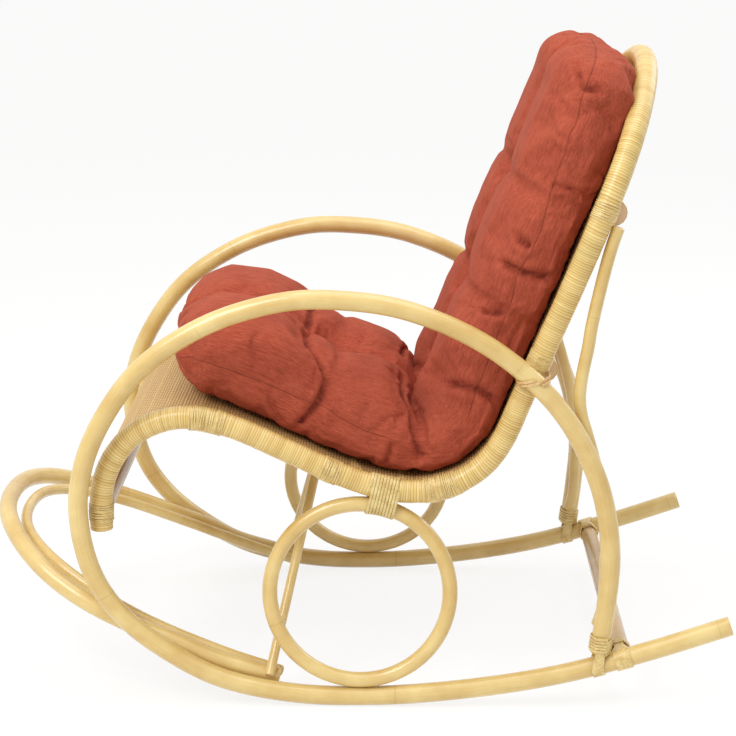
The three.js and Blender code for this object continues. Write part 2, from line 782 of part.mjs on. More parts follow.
function hoopFootCollar() {
  const middle = footCollarLift + footCollarLength / 2;
  const origin = hoopLine.getPointAt(1 - middle / hoopLength);
  const frame = { origin, axis: footRise, across: acrossAxis, up: footBreadth };
  const legs = blockShape(hoopRadius + contactGap + stripThickness, slingLegWidth / 2);
  const legPlace = move(hoopFoot, [footRise, middle]).sub(origin).dot(footBreadth);
  const shapesAt = (along) => {
    const place = hoopLine.getPointAt(1 - (middle + along) / hoopLength).sub(origin);
    const up = place.dot(footBreadth);
    return [
      roundShape(0, up, hoopRadius, hoopRadius),
      (angle) => legs(angle) + legPlace * Math.sin(angle),
    ];
  };
  return winding("hoop foot collar", frame, shapesAt, footCollarLoops, collarSteps);
}

const stretcherCollarLength = stretcherCollarLoops * stripPitch;
const stretcherLegLength =
  hoopRadius + contactGap + stretcherCollarInset + stretcherCollarLength + slingLegOverrun;

function stretcherSling() {
  const { point, tangent, normal } = stretcherSeat;
  const inwards = acrossAxis.clone().negate();
  const legEnds = [
    { from: point, breadth: tangent, width: stretcherSlingWidth },
    { from: move(point, [inwards, hoopRadius]), breadth: tangent, width: slingLegWidth },
    { from: move(point, [inwards, stretcherLegLength]), breadth: tangent, width: slingLegWidth },
  ];
  return sling(point, inwards, tangent, legEnds, stretcherSlingWidth, normal);
}

function stretcherCollar() {
  const inset = hoopRadius + contactGap + stretcherCollarInset + stretcherCollarLength / 2;
  const { point, tangent, normal } = stretcherSeat;
  const frame = { origin: move(point, [acrossAxis, -inset]), axis: acrossAxis, across: tangent, up: normal };
  const shapes = [
    roundShape(0, 0, stretcherRadius, stretcherRadius),
    blockShape(slingLegWidth / 2, hoopRadius + contactGap + stripThickness),
  ];
  return winding("stretcher collar", frame, () => shapes, stretcherCollarLoops, collarSteps);
}

// Pad: lobed sections along a path that follows the rail and runs straight over the front
const lobe = (place) => (1 - Math.min(Math.abs(place), 1) ** lobeExponent) ** (1 / lobeExponent);

function padPath() {
  const seatFront = railShares.findIndex(([along]) => along > shellNoseShare);
  const points = railShares.slice(seatFront).map(railPoint);
  const front = new THREE.Vector3(railHalfSpread, -padFrontReach, padFrontHeight);
  const blend = front.clone().lerp(points[0], padFrontBlendShare / 2);
  blend.z = front.z + (points[0].z - front.z) * padFrontBlendShare;
  const top = move(springPoint, [backUp, backHeight + padTopOverhang]);
  return spline([front, blend, ...points, top]);
}

// How full a row of the pad is, from 0 on its sewn lines to 1 in its middle
function rowFullness(row, within) {
  const place = within * 2 - 1;
  if (row === 0) return lobe(Math.max(place, 0));
  if (row === padRowShares.length - 2) return lobe(Math.min(place, 0));
  return lobe(place);
}

function endRounding(distance, radius) {
  const place = Math.min(distance / radius, 1);
  return Math.sqrt(1 - (1 - place) ** 2);
}

function padSection(path, length, row, within) {
  const [rowStart, startDepth] = padRowShares[row];
  const [rowEnd, endDepth] = padRowShares[row + 1];
  const station = THREE.MathUtils.lerp(rowStart, rowEnd, within);
  const depth = within < 0.5 ? startDepth : endDepth;
  const fullness = rowFullness(row, within);
  const drawn = 1 - fullness;
  const fromEnd = Math.max(Math.min(station, 1 - station) * length, padEndSeam);
  const corner = station < 0.5 ? padFrontCorner : padTopCorner;
  const cornerShrink = corner * (1 - endRounding(fromEnd, corner));
  const halfWidth = padHalfWidth * (1 - padPinchShare * drawn) - cornerShrink;
  const rounding = endRounding(fromEnd, padEndRound);
  const frame = sideFrame(path, station);
  const raise = (railRadius - panelTop + contactGap) * interpolate(padBaseShares, station);
  const base = panelTop + padSeatGap + raise;
  const sag = sagAt(railStationAtY(frame.point.y));
  const fullCrown = padCrown * interpolate(padCrownShares, station);
  const crown = fullCrown * (1 - depth * drawn);
  const seam = base + (fullCrown - base) * padSeamShare * (1 - depth * drawn);
  const upper = [];
  const lower = [];
  for (let step = 0; step <= padAcrossSteps; step += 1) {
    const across = Math.sin(quarterTurn * ((step * 2) / padAcrossSteps - 1));
    const side = lobe(Math.abs(across) * 2 - 1);
    const top = Math.abs(across) > 0.5 ? side : 1 - padValleyShare * (1 - side);
    const tuft = padTuftShare * drawn * Math.exp(-((across / padTuftWidthShare) ** 2)) * (depth > 0 ? 1 : 0);
    const under = (1 - Math.abs(across) ** baseExponent) ** (1 / baseExponent);
    const topHeight = padSeam / 2 + (crown - seam - padSeam / 2) * (top - tuft);
    const lowHeight = -padSeam / 2 - (seam - base - padSeam / 2) * under;
    const place = frame.point.clone();
    place.x = halfWidth * across;
    upper.push(move(place, [frame.normal, seam + topHeight * rounding]));
    lower.unshift(move(place, [frame.normal, seam + lowHeight * rounding - sag * (1 - across ** 2)]));
  }
  return [...upper, ...lower];
}

function tuftedPad() {
  const path = padPath();
  const length = path.getLength();
  const sections = [];
  for (let row = 0; row + 1 < padRowShares.length; row += 1) {
    for (let step = row === 0 ? 0 : 1; step <= padRowSteps; step += 1) {
      const within = (1 - Math.cos((Math.PI * step) / padRowSteps)) / 2;
      sections.push(padSection(path, length, row, within));
    }
  }
  return skin(sections);
}

const finishes = {
  lacqueredRattan: { color: 0xdec07f, roughness: 0.32, metalness: 0 },
  darkRattan: { color: 0xb8986a, roughness: 0.4, metalness: 0 },
  rattanPeel: { color: 0xe6cf86, roughness: 0.38, metalness: 0 },
  wovenCane: { color: 0xc9a878, roughness: 0.7, metalness: 0 },
  chenille: { color: 0xb2523a, roughness: 0.95, metalness: 0 },
};

function named(name, geometry, finish) {
  const mesh = new THREE.Mesh(geometry, new THREE.MeshStandardMaterial(finishes[finish]));
  mesh.name = name;
  return mesh;
}

const bothSides = [
  ["hoop_runner", hoopRunner(), "lacqueredRattan"],
  ["ring", ringHoop(), "lacqueredRattan"],
  ["front_strut", frontStrut(), "lacqueredRattan"],
  ["rear_strut", rearStrut(), "lacqueredRattan"],
  ["ring_tie", ringTie(), "rattanPeel"],
  ["arm_lashing", armLashing(), "rattanPeel"],
  ["hoop_foot_sling", hoopFootSling(), "rattanPeel"],
  ["hoop_foot_collar", hoopFootCollar(), "rattanPeel"],
  ["stretcher_sling", stretcherSling(), "rattanPeel"],
  ["stretcher_collar", stretcherCollar(), "rattanPeel"],
];

const leftSide = new THREE.Group();
const rightSide = new THREE.Group();
rightSide.scale.x = -1;
for (const [name, geometry, finish] of bothSides) {
  leftSide.add(named(`${name}_left`, geometry, finish));
  rightSide.add(named(`${name}_right`, geometry, finish));
}

const outerBow = poleAlong(outerBowLine, outerBowDiameter, poleSides, bowSteps);
const innerBow = poleAlong(innerBowLine, innerBowDiameter, thinPoleSides, innerBowSteps);

const middle = new THREE.Group();
middle.add(
  named("shell_frame_pole", shellFramePole(), "rattanPeel"),
  named("front_bow_outer", outerBow, "lacqueredRattan"),
  named("front_bow_inner", innerBow, "lacqueredRattan"),
  named("front_cross_bar", barUnderPanel(frontBarDiameter, frontBarStation()), "darkRattan"),
  named("seat_bar_front", barUnderPanel(seatBarDiameter, railStationAtY(-frontSeatBarReach)), "darkRattan"),
  named("seat_bar_middle", barUnderPanel(seatBarDiameter, middleBarStation), "darkRattan"),
  named("seat_bar_rear", barUnderPanel(seatBarDiameter, railStationAtY(rearSeatBarSetback)), "darkRattan"),
  named("back_bar_lower", backBar(lowerBackBarSetback), "darkRattan"),
  named("back_bar_upper", backBar(upperBackBarSetback), "darkRattan"),
  named("rear_stretcher", rearStretcher(), "darkRattan"),
  named("woven_panel", wovenPanel(), "wovenCane"),
  named("tufted_pad", tuftedPad(), "chenille"),
);

const chair = new THREE.Group();
chair.add(leftSide, rightSide, middle);
const box = new THREE.Box3().setFromObject(chair);
const centre = box.getCenter(new THREE.Vector3());
chair.position.set(-centre.x, -centre.y, -box.min.z);

const rockingChair = new THREE.Group();
rockingChair.add(chair);

export default rockingChair;
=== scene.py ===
"""A rocking chair of bent rattan poles, with a woven seat and back and a loose tufted pad.

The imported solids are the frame. Each pole is drawn again as a smooth, round pole on the centreline
of its solid, the bindings are rounded copies of theirs, and the pad is a stuffed cover that swells
from its solid. Lengths are metres, except in values whose names end in _MM. +X is the sitter's
left, -Y is the way the sitter faces, and Z points up.
"""

import math
import random

import bmesh
import bpy
from mathutils import Matrix, Vector
from mathutils.bvhtree import BVHTree
from mathutils.kdtree import KDTree


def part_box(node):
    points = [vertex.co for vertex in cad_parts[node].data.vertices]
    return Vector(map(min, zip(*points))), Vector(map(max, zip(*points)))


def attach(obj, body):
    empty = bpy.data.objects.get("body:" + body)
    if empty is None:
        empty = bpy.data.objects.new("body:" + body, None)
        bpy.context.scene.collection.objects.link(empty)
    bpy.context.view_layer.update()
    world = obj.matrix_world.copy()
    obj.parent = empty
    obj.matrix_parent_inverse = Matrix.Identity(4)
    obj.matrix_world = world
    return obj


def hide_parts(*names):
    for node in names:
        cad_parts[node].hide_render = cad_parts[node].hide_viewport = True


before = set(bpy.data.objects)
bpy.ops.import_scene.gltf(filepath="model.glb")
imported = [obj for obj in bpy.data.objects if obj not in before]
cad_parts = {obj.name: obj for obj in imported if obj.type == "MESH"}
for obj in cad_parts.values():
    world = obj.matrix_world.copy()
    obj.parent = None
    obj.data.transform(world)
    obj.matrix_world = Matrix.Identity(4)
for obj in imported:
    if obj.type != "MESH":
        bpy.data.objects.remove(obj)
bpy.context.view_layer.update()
scene = bpy.context.scene

MM = 0.001
FULL_TURN = math.tau

# Camera, fitted to both runners, rings and rails of the photograph
CAMERA_PLACE = Vector((2.90101, 0.07399, 1.19819))
CAMERA_YAW = -0.018327
CAMERA_PITCH = 0.2580957
CAMERA_LENS_MM = 95.23
SENSOR_MM = 36

# Pieces of the solid model that repeat
SIDES = ("left", "right")
RAIL_BARS = (
    "front_cross_bar", "seat_bar_front", "seat_bar_middle", "seat_bar_rear",
    "back_bar_lower", "back_bar_upper",
)
BINDINGS = (
    "ring_tie", "arm_lashing", "hoop_foot_sling", "hoop_foot_collar",
    "stretcher_sling", "stretcher_collar",
)

# How a solid's loose triangles are joined, and how sharp its edges are at a sawn end
MERGE_DISTANCE = 0.02 * MM
RIM_ANGLE = math.radians(60)
RIM_REACH = 60 * MM
STRUT_RIM_ANGLE = math.radians(40)
STRUT_SIDE_SLANT = 0.2

# Poles: steps from point to point and round the side, and how far the ends are rounded off
CURVE_STEPS = 4
ROUND_STEPS = 6
STRAIGHT_STEPS = 8
POLE_SEAM = 0.01 * MM
SAWN_EDGE = 1.2 * MM
WORN_END = 4.5 * MM
RAIL_END = 9 * MM
END_STEPS = 3
POLE_SMOOTHING = math.radians(40)
FLOOR_REACH = 0.1 * MM
FACES_DOWN = -0.999
RING_POLE = 22 * MM
RING_POINTS = 40
# The solid strut has flat sides, whose middles lie inside the round pole
STRUT_FULLNESS = 1.02

# Peel wrap of the seat rail
RAIL_RADIUS = 16.5 * MM
PEEL_PITCH = 3.7 * MM
PEEL_CROWN = 0.32 * MM
PEEL_SET_IN = 0.6
PEEL_UNEVENNESS = 0.12 * MM
PEEL_STEPS = 38
PEEL_BARE_END = 6 * MM
PEEL_SPARE_TURNS = 40
PEEL_SEED = 7
# A hand winds the turns unevenly: how far they drift, over what length, and the angle at the start
PEEL_DRIFTS = ((0.77 * MM, 9.3 * MM, 0), (3.1 * MM, 31 * MM, 1.3), (5.5 * MM, 83 * MM, 0.4))
# The swelling where the peel also goes round the end of a bar
BULGE_HEIGHT = 2.6 * MM
BULGE_REACH = 13 * MM
BULGE_LEAST = 0.02
BULGE_ROUNDNESS = 0.7

# How a bar is matched with the points of the rail, both seen from the side
SEEN_FROM_SIDE = Vector((0, 1, 1))
MEETING_ROOM = 3 * MM

# Strands that bind a bar's end to the rail
STITCH_RADIUS = 1.05 * MM
STITCH_SPACING = 2.9 * MM
STITCHES_EACH_WAY = 4
STITCH_STRAY = 0.5 * MM
STITCH_TILT = 0.07
STITCH_LIFT = 0.9 * MM
STITCH_TO_BAR = 0.6 * MM
STITCH_END_ROOM = 12 * MM
STITCH_TURN_STEPS = 26
STITCH_ROUND_STEPS = 6
STITCH_SMOOTHING = math.radians(60)
STITCH_SEED = 11

# Other bindings
STRIP_EDGE = 0.5 * MM
STRIP_EDGE_STEPS = 2
STRIP_EDGE_ANGLE = math.radians(50)
STRIP_SMOOTHING = math.radians(55)

# Weave
RIB_SPACING = 4.4 * MM
RIB_CROWN = 0.8 * MM
RIB_ROUNDNESS = 0.7
KNOT_SPACING = 7 * MM
SHEET_FLAT_ANGLE = math.radians(30)
SHEET_SMOOTHING = math.radians(50)
SHEET_CUTS = 22
SHEET_LONG_EDGE = 8 * MM
SHEET_EDGE_SLANT = 0.4
SHEET_HALF_WIDTH = 234 * MM
SHEET_UPPER_SIDE = 7 * MM

# Sizes of the patterns: round and along a pole, or across, along and above the rail. Rattan's
# fibres are about 0.4 mm wide, which is too fine to show, so they are drawn two to five times as
# wide. A joint's scar is seen every two half spacings.
POLE_FIBRE = (2.2 * MM, 70 * MM, 1)
POLE_BLOTCH = 75 * MM
JOINT_HALF_SPACING = 236 * MM
JOINT_SCAR = 1.8 * MM
JOINT_WANDER = 14 * MM
SAWN_PORE = 1.4 * MM
SAWN_CLOUD = 9 * MM
PEEL_FIBRE = (28 * MM, 0.9 * MM, 1)
PEEL_BLOTCH = 38 * MM
STRIP_FIBRE = 3 * MM
STRIP_BLOTCH = 14 * MM
CANE_FIBRE = (26 * MM, 1.2 * MM, 4 * MM)
PILE_THREAD = (1.5 * MM, 8 * MM, 1.5 * MM)
PILE_SLUB = (2.6 * MM, 34 * MM, 2.6 * MM)
PILE_BRUSHING = 48 * MM
SEAM_LINE = (0.4 * MM, 1.7 * MM)
CREASE_LINE = (0.8 * MM, 5 * MM)

# Pad: the cloth simulation, and how near the pad may come to what it lies on
PAD_VOXEL = 6 * MM
PAD_START_INSET = 7 * MM
PAD_SWELL = 12 * MM
PAD_FRAMES = 20
PAD_PRESSURE = 4
PAD_QUALITY = 5
PAD_STIFFNESS = 0.15
PAD_SPARE_CLOTH = 0.05
PAD_SEAM_GATHER = 0.03
PAD_SEAM_WIDTH = 5 * MM
PAD_CLEARANCE = 0.5 * MM
PAD_CONTACT_REACH = 25 * MM
PAD_LINE_FLOOR = 25 * MM
FAR_FROM_LINE = 30 * MM
SHEET_LOOK_START_MM = 0.1
SHEET_LOOK_REACH = 60 * MM
FOLD_WIDTH = 4 * MM
FOLD_DEPTH = 4.5 * MM
FOLD_LIP = 2 * MM
FOLD_LIP_AWAY = 3 * FOLD_WIDTH
FOLD_LIP_WIDTH = 1.6 * FOLD_WIDTH

# The pad by millimetres above the rail: its underside, side, crown and front face
UNDERSIDE_MM = (9, 16)
SIDE_MM = (14, 40)
CROWN_MM = (55, 85)
FACE_MM = (98, 122)
UNDERSIDE_HALF_WIDTH_MM = 222
# The pad by millimetres along the rail, from its front end to its top end
FRONT_END_MM = (222, 245)
TOP_END_MM = (1262, 1285)
TOP_FILL_MM = (1200, 1260)
TOP_FILL = 1.9
BACK_START_MM = 600
BACK_FOLDS_START_MM = 640
SEAM_HIDES_MM = (520, 570)
SEAM_SHOWS_MM = (700, 750)
SEAM_HIDING = 6
# How a tuft and the middle valley draw the pad in
TUFT_ACROSS = 0.8
TUFT_REACH = 3
TUFT_DRAW = 0.8
TUFT_NIP = 0.35
TUFT_NIP_WIDTH = 0.3
VALLEY_WIDTH_MM = 15
VALLEY_DEPTH_MM = 6
VALLEY_HOLD = 0.35
FOLD_REACH = 2.5
FOLD_HOLD = 0.9
FOLD_HOLD_WIDTH = 0.6
DEEP_FOLD = 5 * MM
SHALLOW_FOLD_SOFTENING = 3 * MM
FOLD_POINT_SPACING = 5 * MM
# The right side's folds lie elsewhere than the left's by up to this much, unless they are mid-pad
FOLD_SHIFT_MM = Vector((0, 9, 14))
FOLD_SHIFT_STEP = 2.4
FOLD_SHIFT_FROM_MM = 60

# Folds of the pad's left side, as seen in the photograph: depth and width, then the run from the
# middle outwards, all in millimetres
PAD_FOLDS_MM = (
    (10, 9, (
        (20, -66, 500), (90, -64, 515), (150, -55, 508), (198, -30, 471), (223, -39, 447),
        (224, -75, 398),
    )),
    (10, 9, ((0, 196, 690), (90, 186, 700), (180, 205, 692), (213, 221, 686), (233, 249, 669))),
    (10, 9, ((20, 182, 640), (120, 184, 646), (221, 210, 644), (233, 249, 628), (225, 288, 619))),
    (11, 9, (
        (10, 125, 440), (120, 118, 455), (205, 130, 464), (227, 149, 469), (233, 184, 459),
        (226, 215, 440),
    )),
    (6, 6, ((110, 158, 566), (170, 166, 572), (215, 189, 575), (226, 215, 572))),
    (5, 5, ((230, 280, 752), (227, 312, 747))),
    (6, 6, ((150, 306, 905), (182, 314, 909), (209, 319, 888), (212, 341, 883))),
    (4, 5, ((215, 276, 828), (234, 302, 816))),
    (4, 6, ((229, -115, 438), (219, -100, 409))),
    (5, 7, ((232, 59, 373), (226, 50, 345))),
    (7, 7, ((225, 104, 356), (212, 84, 392), (170, 76, 430), (60, 78, 440))),
)
# Tufts on the middle line: station along the rail, depth and width, in millimetres
PAD_TUFTS_MM = ((398, 34, 34), (903, 14, 30), (988, 9, 22), (1072, 14, 30))
# The lowest lobe of the back leans forward over the seat: middle, reach and radius, in millimetres
PAD_OVERHANG_MM = ((118, 100, 428), 20, 62)
OVERHANG_WAY = Vector((0, -0.95, 0.3))
OVERHANG_LIMIT = 2
OVERHANG_FADE = 1.6
# Height of the side seam above the rail's middle line, by station, in millimetres
PAD_SEAM_MM = (
    (200, 78), (235, 71), (264, 65), (304, 66), (365, 69), (410, 73), (451, 67), (542, 65),
    (599, 40), (640, 44), (700, 52), (780, 58), (860, 62), (927, 66), (962, 76), (994, 68),
    (1033, 67), (1093, 78), (1145, 83), (1167, 86), (1225, 88), (1248, 86), (1300, 84),
)

# Studio
FLOOR_SIZE = 120
FLOOR_GLOW = 0.8
FLOOR_WHITE = 1.04
SKY_LIGHT = 0.62
LAMP_TARGET = Vector((0, 0, 0.45))
# Name, place, size and watts of each lamp
LAMPS = (
    ("key_light", (1.9, -1.6, 2.9), 1.6, 62),
    ("top_light", (0.2, 0.4, 3.2), 2.2, 34),
    ("rear_light", (-1.6, 2.2, 1.9), 1.5, 16),
)


def deselect():
    """Leaves edit mode and selects nothing."""
    if bpy.context.object and bpy.context.object.mode != "OBJECT":
        bpy.ops.object.mode_set(mode="OBJECT")
    bpy.ops.object.select_all(action="DESELECT")


def choose(piece):
    """Selects one piece alone."""
    deselect()
    piece.select_set(True)
    bpy.context.view_layer.objects.active = piece


# The camera comes first
bpy.ops.object.camera_add(location=CAMERA_PLACE)
camera = bpy.context.object
camera.name = "photo_camera"
level = math.cos(CAMERA_PITCH)
looks_along = Vector((
    -level * math.cos(CAMERA_YAW), level * math.sin(CAMERA_YAW), -math.sin(CAMERA_PITCH),
))
camera.rotation_euler = looks_along.to_track_quat("-Z", "Y").to_euler()
camera.data.lens = CAMERA_LENS_MM
camera.data.sensor_width = SENSOR_MM
scene.camera = camera


def linear(hex_colour):
    """An sRGB hex colour as the linear RGBA that a node takes."""
    channels = [int(hex_colour[place:place + 2], 16) / 255 for place in (1, 3, 5)]
    return [c / 12.92 if c <= 0.04045 else ((c + 0.055) / 1.055) ** 2.4 for c in channels] + [1]


def fill_inputs(tree, node, inputs):
    """Gives a node's inputs their values, or links them from other nodes' sockets."""
    for socket, value in inputs.items():
        if isinstance(value, bpy.types.NodeSocket):
            tree.links.new(value, node.inputs[socket])
        else:
            node.inputs[socket].default_value = value


def add_node(tree, kind, settings=None, inputs=None):
    """Adds a node with its settings and inputs."""
    node = tree.nodes.new(kind)
    for name, value in (settings or {}).items():
        setattr(node, name, value)
    fill_inputs(tree, node, inputs or {})
    return node


def per_size(sizes):
    """A Mapping node's scale, for a pattern of these sizes."""
    return [1 / size for size in sizes]


def new_material(name):
    """A new material, with its node tree and its surface shader."""
    material = bpy.data.materials.new(name)
    material.use_nodes = True
    return material, material.node_tree, material.node_tree.nodes["Principled BSDF"]


def lacquered_rattan(name, pale, deep, scar):
    """Rattan pole, scraped and clear lacquered.

    The lacquer gives it soft streaks of light. The core shows faint lengthwise fibres, honey
    blotches and a thin scar where each leaf joint was scraped off.
    """
    material, tree, surface = new_material(name)
    place = add_node(tree, "ShaderNodeUVMap")
    spot = add_node(tree, "ShaderNodeTexCoord")
    stretch = add_node(tree, "ShaderNodeMapping", {}, {
        "Vector": place.outputs["UV"], "Scale": per_size(POLE_FIBRE),
    })
    fibre = add_node(tree, "ShaderNodeTexNoise", {}, {
        "Vector": stretch.outputs[0], "Scale": 1, "Detail": 3, "Roughness": 0.6,
    })
    blotch = add_node(tree, "ShaderNodeTexNoise", {}, {
        "Vector": spot.outputs["Object"], "Scale": 1 / POLE_BLOTCH, "Detail": 3, "Roughness": 0.55,
    })
    both = add_node(tree, "ShaderNodeMath", {"operation": "MULTIPLY_ADD"}, {
        0: fibre.outputs["Fac"], 1: 0.3, 2: blotch.outputs["Fac"],
    })
    tone = add_node(tree, "ShaderNodeMapRange", {}, {
        "Value": both.outputs[0], "From Min": 0.46, "From Max": 0.86, "To Min": 0, "To Max": 1,
    })
    honey = add_node(tree, "ShaderNodeMix", {"data_type": "RGBA"}, {
        0: tone.outputs[0], 6: linear(pale), 7: linear(deep),
    })
    along = add_node(tree, "ShaderNodeSeparateXYZ", {}, {0: place.outputs["UV"]})
    wander = add_node(tree, "ShaderNodeMath", {"operation": "MULTIPLY_ADD"}, {
        0: blotch.outputs["Fac"], 1: JOINT_WANDER, 2: along.outputs["Y"],
    })
    from_joint = add_node(tree, "ShaderNodeMath", {"operation": "PINGPONG"}, {
        0: wander.outputs[0], 1: JOINT_HALF_SPACING,
    })
    joint = add_node(tree, "ShaderNodeMapRange", {"interpolation_type": "SMOOTHSTEP"}, {
        "Value": from_joint.outputs[0], "From Min": 0, "From Max": JOINT_SCAR,
        "To Min": 0.4, "To Max": 0,
    })
    scarred = add_node(tree, "ShaderNodeMath", {"operation": "MULTIPLY"}, {
        0: joint.outputs[0], 1: blotch.outputs["Fac"],
    })
    colour = add_node(tree, "ShaderNodeMix", {"data_type": "RGBA"}, {
        0: scarred.outputs[0], 6: honey.outputs[2], 7: linear(scar),
    })
    relief = add_node(tree, "ShaderNodeMath", {"operation": "MULTIPLY_ADD"}, {
        0: joint.outputs[0], 1: 1.4, 2: fibre.outputs["Fac"],
    })
    bump = add_node(tree, "ShaderNodeBump", {}, {
        "Height": relief.outputs[0], "Strength": 0.5, "Distance": 0.1 * MM,
    })
    gloss = add_node(tree, "ShaderNodeMapRange", {}, {
        "Value": fibre.outputs["Fac"], "From Min": 0.3, "From Max": 0.7,
        "To Min": 0.28, "To Max": 0.4,
    })
    fill_inputs(tree, surface, {
        "Base Color": colour.outputs[2], "Roughness": gloss.outputs[0], "Normal": bump.outputs[0],
        "Coat Weight": 0.5, "Coat Roughness": 0.12,
    })
    return material


def sawn_rattan():
    """The sawn end of a rattan pole: pale pinkish pith, whose fine pores read as dark specks."""
    material, tree, surface = new_material("sawn_rattan_end")
    spot = add_node(tree, "ShaderNodeTexCoord")
    pores = add_node(tree, "ShaderNodeTexVoronoi", {}, {
        "Vector": spot.outputs["Object"], "Scale": 1 / SAWN_PORE,
    })
    hole = add_node(tree, "ShaderNodeMapRange", {}, {
        "Value": pores.outputs["Distance"], "From Min": 0.1, "From Max": 0.36,
        "To Min": 0.6, "To Max": 0,
    })
    cloud = add_node(tree, "ShaderNodeTexNoise", {}, {
        "Vector": spot.outputs["Object"], "Scale": 1 / SAWN_CLOUD, "Detail": 2,
    })
    pith = add_node(tree, "ShaderNodeMix", {"data_type": "RGBA"}, {
        0: cloud.outputs["Fac"], 6: linear("#F0D6AE"), 7: linear("#DDB68A"),
    })
    colour = add_node(tree, "ShaderNodeMix", {"data_type": "RGBA"}, {
        0: hole.outputs[0], 6: pith.outputs[2], 7: linear("#A67B52"),
    })
    fill_inputs(tree, surface, {"Base Color": colour.outputs[2], "Roughness": 0.55})
    return material


def wound_peel():
    """Rattan peel, split and wound tight.

    Each turn is a glossy, slightly domed strip of its own tint, with a dark line where two turns
    meet and a green-grey cast in places.
    """
    material, tree, surface = new_material("wound_rattan_peel")
    place = add_node(tree, "ShaderNodeUVMap")
    parts = add_node(tree, "ShaderNodeSeparateXYZ", {}, {0: place.outputs["UV"]})
    lead = add_node(tree, "ShaderNodeMath", {"operation": "DIVIDE"}, {
        0: parts.outputs["X"], 1: FULL_TURN * RAIL_RADIUS,
    })
    phase = add_node(tree, "ShaderNodeMath", {"operation": "MULTIPLY_ADD"}, {
        0: parts.outputs["Y"], 1: 1 / PEEL_PITCH, 2: lead.outputs[0],
    })
    which = add_node(tree, "ShaderNodeMath", {"operation": "FLOOR"}, {0: phase.outputs[0]})
    tint = add_node(tree, "ShaderNodeTexWhiteNoise", {"noise_dimensions": "1D"}, {
        "W": which.outputs[0],
    })
    beside = add_node(tree, "ShaderNodeMath", {"operation": "ADD"}, {0: phase.outputs[0], 1: 0.5})
    border = add_node(tree, "ShaderNodeMath", {"operation": "FLOOR"}, {0: beside.outputs[0]})
    chance = add_node(tree, "ShaderNodeTexWhiteNoise", {"noise_dimensions": "1D"}, {
        "W": border.outputs[0],
    })
    gap = add_node(tree, "ShaderNodeMapRange", {}, {
        "Value": chance.outputs["Value"], "From Min": 0.55, "From Max": 1,
        "To Min": 0.16, "To Max": 0.3,
    })
    from_edge = add_node(tree, "ShaderNodeMath", {"operation": "PINGPONG"}, {
        0: phase.outputs[0], 1: 0.5,
    })
    crown = add_node(tree, "ShaderNodeMapRange", {"interpolation_type": "SMOOTHSTEP"}, {
        "Value": from_edge.outputs[0], "From Min": 0, "From Max": gap.outputs[0],
        "To Min": 0, "To Max": 1,
    })
    stretch = add_node(tree, "ShaderNodeMapping", {}, {
        "Vector": place.outputs["UV"], "Scale": per_size(PEEL_FIBRE),
    })
    fibre = add_node(tree, "ShaderNodeTexNoise", {}, {
        "Vector": stretch.outputs[0], "Scale": 1, "Detail": 2, "Roughness": 0.6,
    })
    spot = add_node(tree, "ShaderNodeTexCoord")
    blotch = add_node(tree, "ShaderNodeTexNoise", {}, {
        "Vector": spot.outputs["Object"], "Scale": 1 / PEEL_BLOTCH, "Detail": 2,
    })
    mixed = add_node(tree, "ShaderNodeMath", {"operation": "MULTIPLY_ADD"}, {
        0: tint.outputs["Value"], 1: 0.5, 2: fibre.outputs["Fac"],
    })
    tone = add_node(tree, "ShaderNodeMapRange", {}, {
        "Value": mixed.outputs[0], "From Min": 0.4, "From Max": 1.1, "To Min": 0, "To Max": 1,
    })
    strip = add_node(tree, "ShaderNodeMix", {"data_type": "RGBA"}, {
        0: tone.outputs[0], 6: linear("#EBD088"), 7: linear("#D6B366"),
    })
    cast = add_node(tree, "ShaderNodeMapRange", {}, {
        "Value": blotch.outputs["Fac"], "From Min": 0.5, "From Max": 0.8,
        "To Min": 0, "To Max": 0.75,
    })
    aged = add_node(tree, "ShaderNodeMix", {"data_type": "RGBA"}, {
        0: cast.outputs[0], 6: strip.outputs[2], 7: linear("#C9B56E"),
    })
    colour = add_node(tree, "ShaderNodeMix", {"data_type": "RGBA"}, {
        0: crown.outputs[0], 6: linear("#B08A48"), 7: aged.outputs[2],
    })
    bump = add_node(tree, "ShaderNodeBump", {}, {
        "Height": fibre.outputs["Fac"], "Strength": 0.4, "Distance": 0.1 * MM,
    })
    fill_inputs(tree, surface, {
        "Base Color": colour.outputs[2], "Normal": bump.outputs[0], "Roughness": 0.38,
        "Coat Weight": 0.3, "Coat Roughness": 0.2,
    })
    return material


def peel_strip(name, pale, deep):
    """Loose-wound rattan peel of the bindings: satin strips with fine fibres and darker patches."""
    material, tree, surface = new_material(name)
    spot = add_node(tree, "ShaderNodeTexCoord")
    fibre = add_node(tree, "ShaderNodeTexNoise", {}, {
        "Vector": spot.outputs["Object"], "Scale": 1 / STRIP_FIBRE, "Detail": 3, "Roughness": 0.65,
    })
    blotch = add_node(tree, "ShaderNodeTexNoise", {}, {
        "Vector": spot.outputs["Object"], "Scale": 1 / STRIP_BLOTCH, "Detail": 2,
    })
    both = add_node(tree, "ShaderNodeMath", {"operation": "ADD"}, {
        0: fibre.outputs["Fac"], 1: blotch.outputs["Fac"],
    })
    tone = add_node(tree, "ShaderNodeMapRange", {}, {
        "Value": both.outputs[0], "From Min": 0.75, "From Max": 1.3, "To Min": 0, "To Max": 1,
    })
    colour = add_node(tree, "ShaderNodeMix", {"data_type": "RGBA"}, {
        0: tone.outputs[0], 6: linear(pale), 7: linear(deep),
    })
    bump = add_node(tree, "ShaderNodeBump", {}, {
        "Height": fibre.outputs["Fac"], "Strength": 0.5, "Distance": 0.15 * MM,
    })
    fill_inputs(tree, surface, {
        "Base Color": colour.outputs[2], "Normal": bump.outputs[0], "Roughness": 0.4,
        "Coat Weight": 0.25, "Coat Roughness": 0.2,
    })
    return material


